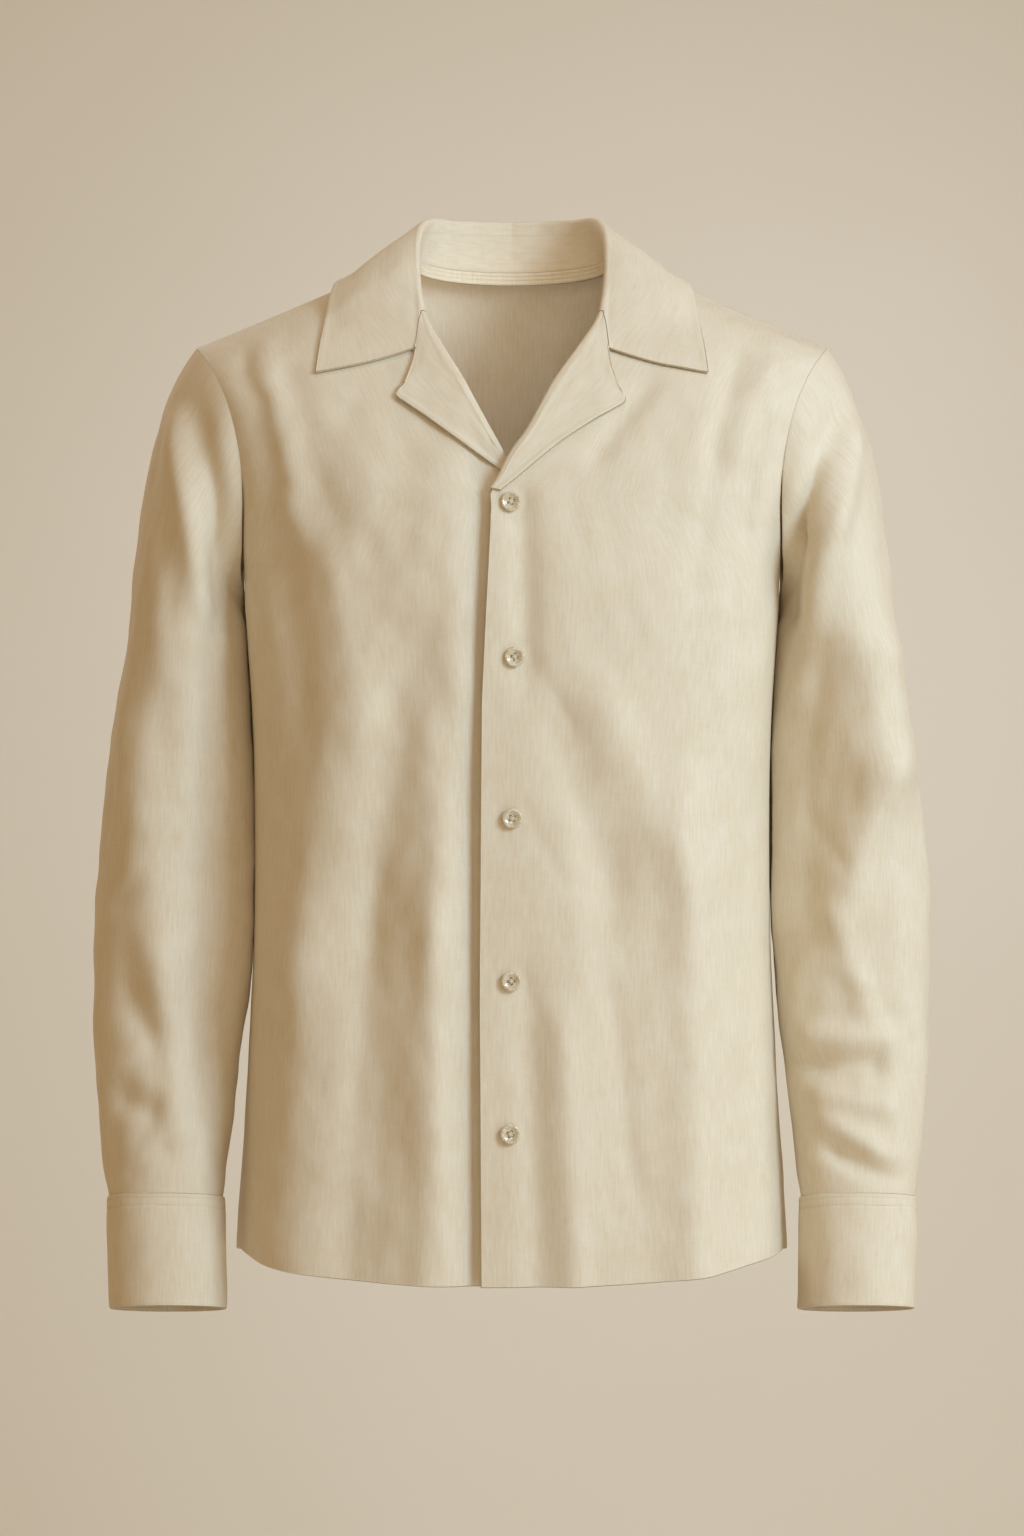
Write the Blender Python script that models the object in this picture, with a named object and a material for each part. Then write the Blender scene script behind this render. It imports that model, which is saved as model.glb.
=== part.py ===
"""Camp collar shirt, long sleeves, filled out as it is worn, with nobody in it.

Metres, +Z up, the fronts face -Y and the wearer's left is +X.  The origin lies on the
centre plane at the neck seam, where a wearer's shoulders hold the shirt.

Every piece of cloth is one closed wall.  Its middle surface is a grid of points worked
out from a few body sections; the wall then goes half its thickness to each side.
Tables are in millimetres and become metres when a mesh is made.
"""
import math
from collections import namedtuple

import bmesh
import bpy
import numpy as np

MM = 0.001

# ---------------------------------------------------------------- driving dimensions, mm
WALL = 1.6                # cloth, with its turned seam allowance
SEAM_GAP = 0.3            # between two pieces that are sewn edge to edge
LAY_CLEAR = 0.45          # between a piece and the panel that it lies on
UNDERLAP_DROP = 3.5       # how far the under front lies behind the top front
BREAK_LEVEL = -154.0      # where the lapels cross, and how much deeper the under one is there
BREAK_SPREAD = 26.0
BREAK_DROP = 7.6
SAMPLE_REACH = 7.0        # how far a panel's points are felt by what lies on it
ROLL_RADIUS = 2.7         # turn of the lapel round its roll line
ROLL_INSIDE = 9.0         # facing that runs on inside the roll
LAPEL_GAP = 0.7           # between a lapel and the collar's end
ARMHOLE_START = 2.5       # sleeve stands this far off the body at the underarm
ROLL_BEYOND = 1.5         # the roll's centre lies this far past the front's own edge
END_RADIUS = 2.0          # both get smaller over the last rows above the break
END_BEYOND = 0.8
ROLL_CLOSE_ROWS = 4
ROLL_SOFT = 2.0           # lapel stands this much higher beside its roll
LEFT_BREAK = -167.5       # level where the top lapel ends
RIGHT_BREAK = -155.0      # and the under one, just inside the top lapel's roll
CUFF_WALL = 2.2
TAPE_TOP = 1.5
TAPE_START_Y = 6.0        # the tape runs only round the back of the neck
TAPE_HEIGHT = 9.0
TAPE_WALL = 1.2
TAPE_RIDGE = 0.5
BUTTON_DIAMETER = 14.2
BUTTON_THICK = 3.0
BUTTON_LIFT = 0.5         # thread shank between a button and the cloth

FRONT_COLUMNS = 14
BACK_COLUMNS = 25
SLEEVE_ROWS = 15
CAP_ROWS = 7
CUFF_ROWS = 4
COLLAR_COLUMNS = 33
LEAF_STEPS = 8
LAPEL_INSIDE = 3
TAPE_ROWS = 7
LAPEL_ROWS = 13
BUTTON_SIDES = 20

# ---------------------------------------------------------------- colours, linear rgb
CLOTH = (0.66, 0.57, 0.43, 1.0)
SHELL = (0.78, 0.72, 0.60, 1.0)

# ---------------------------------------------------------------- tables
# Front rows from the hem up, for one side.  in_*: the front's inner edge, out_*: side
# seam and armhole.  *_turn: the row's heading there, in degrees from straight outward to
# straight back.  *_pull: handle length as a share of the row's span.
FrontRow = namedtuple("FrontRow", "in_x in_y in_z out_x out_y out_z in_turn out_turn in_pull out_pull")
FRONT_ROWS = [
    FrontRow(0, -118, -722, 193.0, -24, -705, 0, 80, 0.60, 0.34),
    FrontRow(0, -118, -690, 192.0, -24, -682, 0, 80, 0.60, 0.34),
    FrontRow(0, -117, -600, 188.0, -20, -600, 0, 80, 0.60, 0.34),
    FrontRow(0, -116, -480, 183.5, -16, -480, 0, 82, 0.60, 0.34),
    FrontRow(0, -116, -360, 184.0, -12, -360, 0, 84, 0.60, 0.36),
    FrontRow(0, -117, -270, 189.5, -5, -270, 0, 88, 0.60, 0.38),
    FrontRow(0, -116, -222, 191.5, -2, -238, 0, 88, 0.58, 0.38),
    FrontRow(0, -111, -186, 190.5, -38, -205, 2, 70, 0.50, 0.32),
    FrontRow(-5.0, -106, -160, 189.5, -55, -172, 3, 58, 0.42, 0.30),
    FrontRow(16.5, -96, -126, 192.0, -61, -140, 4, 48, 0.38, 0.30),
    FrontRow(37.2, -79, -88, 199.5, -57, -108, 4, 42, 0.34, 0.30),
    FrontRow(63.0, -52, -47, 211.0, -39, -82, 2, 34, 0.33, 0.30),
    FrontRow(70, -24, -16, 222.0, -15, -66, 0, 20, 0.33, 0.32),
    FrontRow(73, 5, 4, 227.0, 5, -60, 0, 0, 0.33, 0.33),
]
NECK_SWAY = 2.0                     # both roll lines lie this far toward the wearer's right
ROLL_ROWS = slice(8, 11)            # on these rows
# Back rows from the hem up, on the same levels.
BackRow = namedtuple("BackRow", "mid_y mid_z out_x out_y out_z out_turn mid_pull out_pull")
BACK_ROWS = [
    BackRow(116, -726, 193.0, -24, -705, 103, 0.58, 0.52),
    BackRow(115, -690, 192.0, -24, -682, 103, 0.58, 0.52),
    BackRow(113, -600, 188.0, -20, -600, 101, 0.58, 0.50),
    BackRow(108, -480, 183.5, -16, -480, 99, 0.58, 0.48),
    BackRow(108, -360, 184.0, -12, -360, 97, 0.58, 0.46),
    BackRow(113, -270, 189.5, -5, -270, 92, 0.58, 0.40),
    BackRow(116, -222, 191.5, -2, -238, 90, 0.58, 0.38),
    BackRow(117, -186, 191.0, 38, -205, 66, 0.50, 0.32),
    BackRow(116, -160, 192.5, 56, -172, 54, 0.42, 0.30),
    BackRow(112, -124, 198.5, 64, -140, 46, 0.38, 0.30),
    BackRow(105, -86, 207.5, 60, -108, 40, 0.34, 0.30),
    BackRow(94, -48, 216.5, 43, -82, 32, 0.33, 0.30),
    BackRow(80, -18, 224.0, 22, -66, 18, 0.33, 0.32),
    BackRow(62, -1, 227.0, 5, -60, 6, 0.33, 0.33),
]
# Free sleeve rings under the armpit, from the elbow's turn to the cuff seam.
SleeveRing = namedtuple("SleeveRing", "mid_x mid_y mid_z half_wide half_deep lean")
SLEEVE_RINGS = [
    SleeveRing(235.5, 12, -268, 41.0, 72, 0),
    SleeveRing(237.5, 13, -310, 46.5, 66, 0),
    SleeveRing(240.0, 13, -362, 51.5, 60, 1),
    SleeveRing(242.5, 11, -414, 54.5, 55, 3),
    SleeveRing(245.0, 6, -470, 55.5, 51, 6),
    SleeveRing(246.5, -1, -529, 53.5, 47, 8),
    SleeveRing(248.0, -11, -586, 49.5, 44, 9),
    SleeveRing(247.5, -21, -643, 44.0, 41, 10),
    SleeveRing(247.0, -26.5, -667.5, 40.0, 38, 10),
]
CUFF_RINGS = [
    SleeveRing(247.0, -26.7, -668.7, 41.2, 38.5, 10),
    SleeveRing(246.0, -33.6, -707, 41.0, 38.5, 10),
    SleeveRing(244.5, -40, -746, 40.8, 38.5, 10),
]
# Collar stations at equal steps along the neck seam, from the gorge to the centre back:
# the roll line and the leaf's outer edge.
CollarStation = namedtuple("CollarStation", "roll_x roll_y roll_z leaf_x leaf_y leaf_z")
COLLAR_STATIONS = [
    CollarStation(62.5, -47, -38, 137.5, -69, -85),
    CollarStation(66.0, -34, -17, 134.5, -51, -58.5),
    CollarStation(67.5, -17, 5, 130.0, -29, -36.5),
    CollarStation(66.0, 5, 25, 122.5, 2, -17),
    CollarStation(60.0, 28, 36.5, 104.0, 49, -29),
    CollarStation(46.0, 49, 38, 76.0, 73, -36),
    CollarStation(24.0, 62, 38.5, 40.0, 84.5, -33),
    CollarStation(0.0, 67, 38.7, 0.0, 88, -30),
]
NOTCH = (68.0, -62.0, -68.5)        # where the gorge seam ends and the collar's end begins
NOTCH_SHARE = 0.30                  # of the collar's end, measured from the roll line
GORGE_SHARE = 0.12                  # gorge on the front's edge, as a share of that row's step
END_EASE = 4.0                      # columns over which the end's outline eases off
END_SAG = 3.0                       # the collar's end edge hangs in a shallow curve
COLLAR_LIFT = 0.8                   # leaf over the panels below it
COLLAR_BOW = 4.0                    # the leaf bellies out this far between roll and edge
NECK_MIDDLE = (0.0, 8.0)            # in plan, what the collar stand leans round
SEAM_SINK = 0.6                     # stand's raw edge below the seam
GORGE_FOOT = (64.0, -43.0, -41.0)   # stand's lower corner at the gorge, behind the front's edge
GORGE_ROWS = 1.6
STAND_INSET = 2.5                   # stand's middle surface inside the neck seam
# Lapel edges as seen from the front, at equal steps from the gorge to the break.
LapelPoint = namedtuple("LapelPoint", "x z lift")
LAPEL_LEFT = [
    LapelPoint(68.0, -70, 1.4), LapelPoint(72.0, -88, 1.6), LapelPoint(79.5, -104, 1.8),
    LapelPoint(66.0, -113, 1.8), LapelPoint(50.0, -123, 1.8), LapelPoint(34.0, -134, 1.6),
    LapelPoint(19.0, -146, 1.2), LapelPoint(5.5, -157.5, 0.8), LapelPoint(-8.0, -168.5, 0.3),
]
LAPEL_RIGHT = [
    LapelPoint(68.0, -70, 1.4), LapelPoint(72.2, -88, 1.6), LapelPoint(81.0, -100, 1.8),
    LapelPoint(68.0, -110, 1.8), LapelPoint(53.0, -121, 1.8), LapelPoint(38.0, -132, 1.6),
    LapelPoint(23.0, -143, 1.2), LapelPoint(12.0, -151, 0.8), LapelPoint(3.0, -158, 0.3),
]
# Edge of the top front left of the centre line: level and how far past it.
EDGE_LEVELS = [-722, -523, -315, -246, -200, -186, -172]
EDGE_REACH = [21.0, 22.2, 20.8, 17.5, 15.3, 14.9, 10.7]

# Folds as they show from the front or the back: from (x, z) to (x, z), the half width and
# the height of a ridge, or depth of a trough if negative.
Fold = namedtuple("Fold", "x0 z0 x1 z1 half_width height")
FRONT_LEFT_FOLDS = [
    Fold(36, -340, 68, -440, 15, -5.0), Fold(68, -440, 80, -640, 17, -5.5),
    Fold(64, -315, 112, -430, 17, 5.5), Fold(112, -430, 126, -660, 20, 5.5),
    Fold(36, -560, 44, -715, 13, 4.5), Fold(11, -530, 18, -715, 11, -3.0),
    Fold(182, -80, 164, -140, 10, 3.5), Fold(158, -80, 142, -140, 10, -4.0),
    Fold(176, -115, 166, -190, 10, -4.0), Fold(190, -110, 182, -200, 10, 3.5),
    Fold(16, -190, 18, -280, 12, -2.0), Fold(92, -97, 62, -140, 10, -3.0),
]
FRONT_RIGHT_FOLDS = [
    Fold(72, -290, 98, -470, 18, -5.5), Fold(98, -470, 107, -690, 19, -6.5),
    Fold(38, -330, 54, -480, 14, 4.0), Fold(54, -480, 59, -712, 15, 5.5),
    Fold(128, -340, 150, -500, 20, 5.0), Fold(150, -500, 158, -700, 21, 6.0),
    Fold(190, -85, 168, -220, 11, -5.0), Fold(172, -85, 150, -190, 10, 4.0),
    Fold(156, -92, 132, -175, 10, -4.5), Fold(208, -105, 194, -210, 10, 4.0),
    Fold(118, -225, 104, -330, 14, 4.0), Fold(158, -220, 148, -330, 15, -4.5),
]
BACK_FOLDS = [
    Fold(-60, -120, -78, -420, 24, -5.5), Fold(64, -130, 72, -400, 24, -5.5),
    Fold(-20, -260, -32, -715, 26, 6.0), Fold(40, -420, 52, -712, 22, 5.5),
    Fold(-110, -300, -118, -700, 24, 5.5), Fold(118, -330, 112, -705, 24, -5.5),
    Fold(-168, -120, -140, -200, 14, -4.5), Fold(168, -120, 142, -210, 14, -4.5),
    Fold(4, -480, 8, -715, 16, -5.0), Fold(-78, -470, -74, -715, 18, -5.5),
]
SLEEVE_LEFT_FRONT = [
    Fold(244, -125, 226, -190, 10, 6.0), Fold(226, -190, 204, -300, 11, 7.0),
    Fold(226, -120, 200, -195, 11, -9.0), Fold(198, -195, 194, -250, 10, -8.0),
    Fold(262, -290, 256, -370, 13, 5.0), Fold(256, -370, 236, -450, 13, 5.0),
    Fold(216, -300, 208, -420, 17, -7.0), Fold(218, -556, 262, -556, 9, 4.0),
    Fold(215, -576, 258, -574, 8, -5.5), Fold(222, -594, 262, -602, 9, 3.5),
    Fold(226, -612, 262, -636, 9, 4.5), Fold(230, -634, 268, -656, 8, -5.0),
    Fold(232, -475, 250, -530, 9, 4.0), Fold(272, -360, 282, -520, 16, 4.0),
]
SLEEVE_RIGHT_FRONT = [
    Fold(242, -120, 216, -240, 11, 5.5), Fold(224, -135, 204, -235, 10, -6.0),
    Fold(203, -235, 206, -440, 12, -5.5), Fold(268, -345, 250, -500, 17, 6.0),
    Fold(250, -500, 236, -610, 14, 4.5), Fold(276, -596, 256, -604, 11, -5.5),
    Fold(270, -520, 250, -560, 13, -5.0), Fold(226, -360, 220, -470, 16, -4.0),
]
SLEEVE_BACK = [
    Fold(226, -130, 210, -250, 13, -5.0), Fold(250, -200, 232, -360, 15, 5.0),
    Fold(262, -400, 226, -452, 13, -6.0), Fold(226, -480, 264, -505, 12, -5.5),
    Fold(232, -540, 262, -560, 12, 4.5), Fold(228, -590, 256, -640, 11, -4.5),
]
BUTTON_LEVELS = [-177, -285, -397, -510, -616]
BUTTON_OFFSETS = [-1.0, 1.5, 0.0, -0.7, -1.4]


# ---------------------------------------------------------------- small mathematics
def column(rows, name):
    """One named column of a table as an array."""
    return np.array([getattr(row, name) for row in rows], dtype=float)


def smooth_table(values, where):
    """Catmull-Rom curve through values at 0, 1, 2 ..., read at the places in where."""
    values = np.asarray(values, dtype=float)
    ends = [2 * values[:1] - values[1:2], values, 2 * values[-1:] - values[-2:-1]]
    padded = np.concatenate(ends)
    first = np.clip(np.floor(where).astype(int), 0, len(values) - 2)
    f = np.asarray(where, dtype=float) - first
    if values.ndim > 1:
        f = f[:, None]
    a, b, c, d = (padded[first + k] for k in range(4))
    return b + 0.5 * f * (c - a + f * (2 * a - 5 * b + 4 * c - d + f * (3 * (b - c) + d - a)))


def seam_line(points, where):
    """An outer edge: one curve up the side seam and another round the armhole."""
    side = smooth_table(points[:ARMPIT_ROW + 1], np.minimum(where, ARMPIT_ROW))
    hole = smooth_table(points[ARMPIT_ROW:], np.maximum(where - ARMPIT_ROW, 0.0))
    return np.where(where[:, None] <= ARMPIT_ROW, side, hole)


def smooth_step(value):
    """0 below 0, 1 above 1 and an S curve between."""
    value = np.clip(value, 0.0, 1.0)
    return value * value * (3.0 - 2.0 * value)


def unit(vectors):
    """Vectors brought to length 1."""
    length = np.linalg.norm(vectors, axis=-1, keepdims=True)
    return vectors / np.maximum(length, 1e-9)


def heading(turn):
    """Unit vectors in plan: 0 degrees is straight outward (+X), 90 is straight back (+Y)."""
    angle = np.radians(turn)
    return np.stack([np.cos(angle), np.sin(angle), np.zeros_like(angle)], axis=-1)


def bezier(p0, p1, p2, p3, s):
    """Cubic curves with the control points p0..p3, one curve a row, at the shares s."""
    s = s[None, :, None]
    p0, p1, p2, p3 = (p[:, None, :] for p in (p0, p1, p2, p3))
    r = 1.0 - s
    return r**3 * p0 + 3 * r * r * s * p1 + 3 * r * s * s * p2 + s**3 * p3


def even_out(rows, count):
    """Each row of points again, count points at equal steps along it."""
    steps = np.linalg.norm(np.diff(rows, axis=1), axis=2)
    along = np.concatenate([np.zeros((len(rows), 1)), np.cumsum(steps, axis=1)], axis=1)
    result = np.empty((len(rows), count, 3))
    for index, (row, run) in enumerate(zip(rows, along)):
        want = np.linspace(0, run[-1], count)
        result[index] = np.stack([np.interp(want, run, row[:, axis]) for axis in range(3)], axis=1)
    return result


def grid_normals(grid, closed=False):
    """Normals of a grid of points: the cross product of its two directions."""
    if closed:
        across = np.roll(grid, -1, axis=1) - np.roll(grid, 1, axis=1)
    else:
        across = np.gradient(grid, axis=1)
    return unit(np.cross(across, np.gradient(grid, axis=0)))


def fold_field(points, folds):
    """Sum of the folds at each point: height x bell across the line x fade at its ends."""
    x, z = points[..., 0], points[..., 2]
    total = np.zeros(x.shape)
    for fold in folds:
        dx, dz = fold.x1 - fold.x0, fold.z1 - fold.z0
        length = math.hypot(dx, dz)
        along = ((x - fold.x0) * dx + (z - fold.z0) * dz) / length
        aside = ((x - fold.x0) * dz - (z - fold.z0) * dx) / length
        fade = fold.half_width + 0.22 * length
        past = np.maximum(np.maximum(-along, along - length), 0.0) / fade
        total += fold.height * np.exp(-(aside / fold.half_width) ** 2 - (1.6 * past) ** 2)
    return total


def height_over(points, below, normals, reach):
    """Height of points over a surface given by samples, the way up, and how far it is.

    The height is the mean of the heights over the samples' tangent planes, weighted by
    exp(-(distance squared) / (reach squared)).
    """
    flat_points = points.reshape(-1, 3)
    samples, directions = below.reshape(-1, 3), normals.reshape(-1, 3)
    heights, nearest = np.empty(len(flat_points)), np.empty(len(flat_points))
    ways = np.empty_like(flat_points)
    for start in range(0, len(flat_points), 256):
        apart = flat_points[start:start + 256, None, :] - samples[None, :, :]
        square = (apart ** 2).sum(axis=2)
        closest = square.min(axis=1, keepdims=True)
        weight = np.exp(-(square - closest) / reach ** 2)
        weight /= weight.sum(axis=1, keepdims=True)
        heights[start:start + 256] = (weight * (apart * directions[None]).sum(axis=2)).sum(axis=1)
        ways[start:start + 256] = unit(weight @ directions)
        nearest[start:start + 256] = np.sqrt(closest[:, 0])
    shape = points.shape[:-1]
    return heights.reshape(shape), ways.reshape(points.shape), nearest.reshape(shape)


def denser(grid, times=3):
    """A grid with straight-line points added between its own, times as many each way."""
    for axis in (0, 1):
        count = grid.shape[axis]
        want = np.linspace(0, count - 1, (count - 1) * times + 1)
        low = np.minimum(want.astype(int), count - 2)
        share = (want - low).reshape((-1, 1, 1) if axis == 0 else (1, -1, 1))
        grid = np.take(grid, low, axis) * (1 - share) + np.take(grid, low + 1, axis) * share
    return grid


def lay_over(points, below, normals, clear, near=12.0, far=36.0):
    """Points moved out along the panel below until they clear it.

    The push fades between near and far from the panel's samples.  With the normals
    turned round it lays the points under the panel.
    """
    moved = points.copy()
    below, normals = denser(below), unit(denser(normals))
    for _ in range(3):
        height, way, distance = height_over(moved, below, normals, SAMPLE_REACH)
        short = np.maximum(clear - height, 0.0) * smooth_step((far - distance) / (far - near))
        moved += short[..., None] * way
    return moved


def mirror(points):
    """The wearer's other side."""
    return points * np.array([-1.0, 1.0, 1.0])


# ---------------------------------------------------------------- body surfaces
def rows_between(table, steps):
    """Row places 0 .. n-1 of a table, with steps[i] equal steps in each interval."""
    places = [np.arange(count) / count + index for index, count in enumerate(steps)]
    return np.append(np.concatenate(places), len(table) - 1.0)


BODY_STEPS = (1, 3, 4, 4, 3, 2, 2, 2, 2, 2, 2, 2, 2)
ARMPIT_ROW = 6            # table row where the side seam ends and the armhole begins


def body_row_curves(table, inner, outer, in_turn, out_turn, in_pull, out_pull, where, fine=60):
    """Bezier rows from the inner edge to the outer edge, finely sampled."""
    start, end = smooth_table(inner, where), seam_line(outer, where)
    span = np.linalg.norm(end - start, axis=1)[:, None]
    fall = ((end - start)[:, 2:3] / span) * np.array([[0.0, 0.0, 1.0]])
    lead = heading(smooth_table(in_turn, where)) + fall * smooth_step((where[:, None] - ARMPIT_ROW) / 4.0)
    follow = heading(smooth_table(out_turn, where)) + fall
    first = start + lead * span * smooth_table(in_pull, where)[:, None]
    second = end - follow * span * smooth_table(out_pull, where)[:, None]
    return bezier(start, first, second, end, np.linspace(0, 1, fine))


def front_half(sway):
    """Middle surface of one front from the centre line and roll line to the side, +X."""
    where = rows_between(FRONT_ROWS, BODY_STEPS)
    inner = np.stack([column(FRONT_ROWS, name) for name in ("in_x", "in_y", "in_z")], axis=1)
    inner[ROLL_ROWS, 0] += sway
    outer = np.stack([column(FRONT_ROWS, name) for name in ("out_x", "out_y", "out_z")], axis=1)
    return body_row_curves(FRONT_ROWS, inner, outer, column(FRONT_ROWS, "in_turn"),
                           column(FRONT_ROWS, "out_turn"), column(FRONT_ROWS, "in_pull"),
                           column(FRONT_ROWS, "out_pull"), where)


def back_half():
    """Middle surface of the back from its centre line to the side, +X."""
    where = rows_between(BACK_ROWS, BODY_STEPS)
    middle = np.stack([0.0 * column(BACK_ROWS, "mid_y"), column(BACK_ROWS, "mid_y"),
                       column(BACK_ROWS, "mid_z")], axis=1)
    outer = np.stack([column(BACK_ROWS, name) for name in ("out_x", "out_y", "out_z")], axis=1)
    rows = body_row_curves(BACK_ROWS, middle, outer, 0.0 * column(BACK_ROWS, "mid_y"),
                           -column(BACK_ROWS, "out_turn"), column(BACK_ROWS, "mid_pull"),
                           column(BACK_ROWS, "out_pull"), where)
    top = back_top_edge(rows.shape[1])
    ease = smooth_step((where - (len(BACK_ROWS) - 4)) / 3.0)[:, None, None]
    return rows + ease * (top - rows[-1])[None]


def back_top_edge(count):
    """Back neckline from the centre back to the neck point, then the shoulder seam."""
    neck, shoulder = FRONT_ROWS[-1], BACK_ROWS[-1]
    angle = np.linspace(0, math.pi / 2, 24)
    back_y = BACK_ROWS[-1].mid_y - neck.in_y
    rise = BACK_ROWS[-1].mid_z - neck.in_z
    neckline = np.stack([neck.in_x * np.sin(angle), neck.in_y + back_y * np.cos(angle),
                         neck.in_z + rise * np.cos(angle)], axis=1)
    share = np.linspace(0, 1, 24)[1:, None]
    start = np.array([neck.in_x, neck.in_y, neck.in_z])
    end = np.array([shoulder.out_x, shoulder.out_y, shoulder.out_z])
    seam = start + share * (end - start)
    return even_out(np.concatenate([neckline, seam])[None], count)[0]


def reach_past_centre(half, reach, levels):
    """A front's rows carried past the centre line by reach, below the lapel."""
    rows = []
    for row in half:
        far = np.interp(row[0, 2], levels, reach, right=0.0)
        if far > 0.0:
            steps = np.linspace(far, 0.0, 6, endpoint=False)[:, None]
            extra = row[0] + steps * np.array([[-1.0, 0.0, 0.0]])
            row = np.concatenate([extra, row])
        rows.append(even_out(row[None], 60)[0])
    return np.array(rows)


def build_surfaces():
    """All middle surfaces of the body, folds included, with their normals."""
    back = back_half()
    left = reach_past_centre(front_half(-NECK_SWAY), EDGE_REACH, EDGE_LEVELS)
    right = mirror(reach_past_centre(front_half(NECK_SWAY), EDGE_REACH, EDGE_LEVELS))[:, ::-1]
    left = even_out(left, FRONT_COLUMNS)
    right = even_out(right, FRONT_COLUMNS)
    whole_back = np.concatenate([back[:, ::-1], mirror(back)[:, 1:]], axis=1)
    whole_back = even_out(whole_back, BACK_COLUMNS)
    sheets = {"front_left": left, "front_right": right, "back": whole_back}
    folds = {"front_left": FRONT_LEFT_FOLDS, "front_right": FRONT_RIGHT_FOLDS, "back": BACK_FOLDS}
    for name, grid in sheets.items():
        normals = grid_normals(grid)
        seen = mirror(grid) if name == "front_right" else grid
        height = fold_field(seen, folds[name]) * edge_fade(grid, name)
        sheets[name] = grid + height[..., None] * normals
    top = sheets["front_left"]
    under = sheets["front_right"]
    near_break = np.exp(-((under[..., 2] - BREAK_LEVEL) / BREAK_SPREAD) ** 2)
    drop = UNDERLAP_DROP + BREAK_DROP * near_break
    sheets["front_right"] = lay_over(under, top, -grid_normals(top), drop)
    return sheets


def edge_fade(grid, name):
    """1 inside a panel and 0 at its seams, over about 30 mm, so that seams still meet."""
    count = grid.shape[1]
    across = np.linspace(0, 1, count)
    span = {"front_left": 1 - across, "front_right": across}.get(name)
    if span is None:
        span = np.minimum(across, 1 - across)
    side = smooth_step(span * (count - 1) / 2.5)[None, :]
    rows = np.arange(grid.shape[0])[::-1][:, None]
    return side * smooth_step(rows / 3.5)


# ---------------------------------------------------------------- mesh making
def mesh_object(name, vertices, faces, colour, roughness=0.85):
    """An object from points in millimetres, shaded smooth, with its own material."""
    mesh = bpy.data.meshes.new(name)
    mesh.from_pydata([tuple(point) for point in vertices * MM], [], faces)
    work = bmesh.new()
    work.from_mesh(mesh)
    bmesh.ops.recalc_face_normals(work, faces=work.faces)
    bmesh.ops.triangulate(work, faces=work.faces)
    if work.calc_volume(signed=True) < 0:
        bmesh.ops.reverse_faces(work, faces=work.faces)
    work.to_mesh(mesh)
    work.free()
    mesh.shade_smooth()
    material = bpy.data.materials.new(name)
    material.use_nodes = True
    shader = material.node_tree.nodes["Principled BSDF"]
    shader.inputs["Base Color"].default_value = colour
    shader.inputs["Roughness"].default_value = roughness
    mesh.materials.append(material)
    thing = bpy.data.objects.new(name, mesh)
    bpy.context.scene.collection.objects.link(thing)
    return thing


def wall(name, grid, normals, thick, colour, closed=False):
    """A closed wall: the grid moved out and in by half its thickness, and its rims."""
    rows, count = grid.shape[:2]
    half = 0.5 * thick * normals
    vertices = np.concatenate([(grid + half).reshape(-1, 3), (grid - half).reshape(-1, 3)])
    inside = rows * count

    def at(row, place):
        return row * count + place % count

    faces = []
    steps = count if closed else count - 1
    for row in range(rows - 1):
        for place in range(steps):
            corners = (at(row, place), at(row, place + 1), at(row + 1, place + 1), at(row + 1, place))
            faces.append(corners)
            faces.append(tuple(inside + corner for corner in reversed(corners)))
    for place in range(steps):
        for row in (0, rows - 1):
            a, b = at(row, place), at(row, place + 1)
            faces.append((a, b, inside + b, inside + a) if row else (b, a, inside + a, inside + b))
    if not closed:
        for row in range(rows - 1):
            for place in (0, count - 1):
                a, b = at(row, place), at(row + 1, place)
                faces.append((a, b, inside + b, inside + a) if not place else (b, a, inside + a, inside + b))
    return mesh_object(name, vertices, faces, colour)


def pull_edge(grid, edge, amount):
    """One edge of a grid drawn back along the surface by amount."""
    result = grid.copy()
    if edge == "first_column":
        result[:, 0] += amount * unit(grid[:, 1] - grid[:, 0])
    elif edge == "last_column":
        result[:, -1] += amount * unit(grid[:, -2] - grid[:, -1])
    elif edge == "first_row":
        result[0] += amount * unit(grid[1] - grid[0])
    elif edge == "last_row":
        result[-1] += amount * unit(grid[-2] - grid[-1])
    return result


def set_back(grid, amount, edges):
    """The named edges of a grid drawn back for half a seam gap."""
    for edge in edges:
        grid = pull_edge(grid, edge, amount)
    return grid


def shoulder_normal():
    """One direction for both rims along the straight shoulder seam, square to it."""
    along = np.array([FRONT_ROWS[-1].out_x - FRONT_ROWS[-1].in_x, 0.0,
                      FRONT_ROWS[-1].out_z - FRONT_ROWS[-1].in_z])
    return unit(np.array([-along[2], 0.0, along[0]]))


def body_normals(sheets):
    """Normals of the fronts and the back, shared where they are sewn together."""
    normals = {name: grid_normals(grid) for name, grid in sheets.items()}
    top = shoulder_normal()
    armpit = sum(BODY_STEPS[:ARMPIT_ROW])
    for name, side, sign in (("front_left", 0, 1.0), ("front_right", -1, -1.0)):
        front_edge = -1 if name == "front_left" else 0
        shared = unit(normals[name][:armpit + 1, front_edge] + normals["back"][:armpit + 1, side])
        normals[name][:armpit + 1, front_edge] = shared
        normals["back"][:armpit + 1, side] = shared
        seam_way = top * np.array([sign, 1.0, 1.0])
        normals[name][-1] = seam_way
        on_seam = np.abs(sheets["back"][-1, :, 0]) > FRONT_ROWS[-1].in_x - 1.0
        on_seam &= np.sign(sheets["back"][-1, :, 0]) == sign
        normals["back"][-1, on_seam] = seam_way
    return normals


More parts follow.
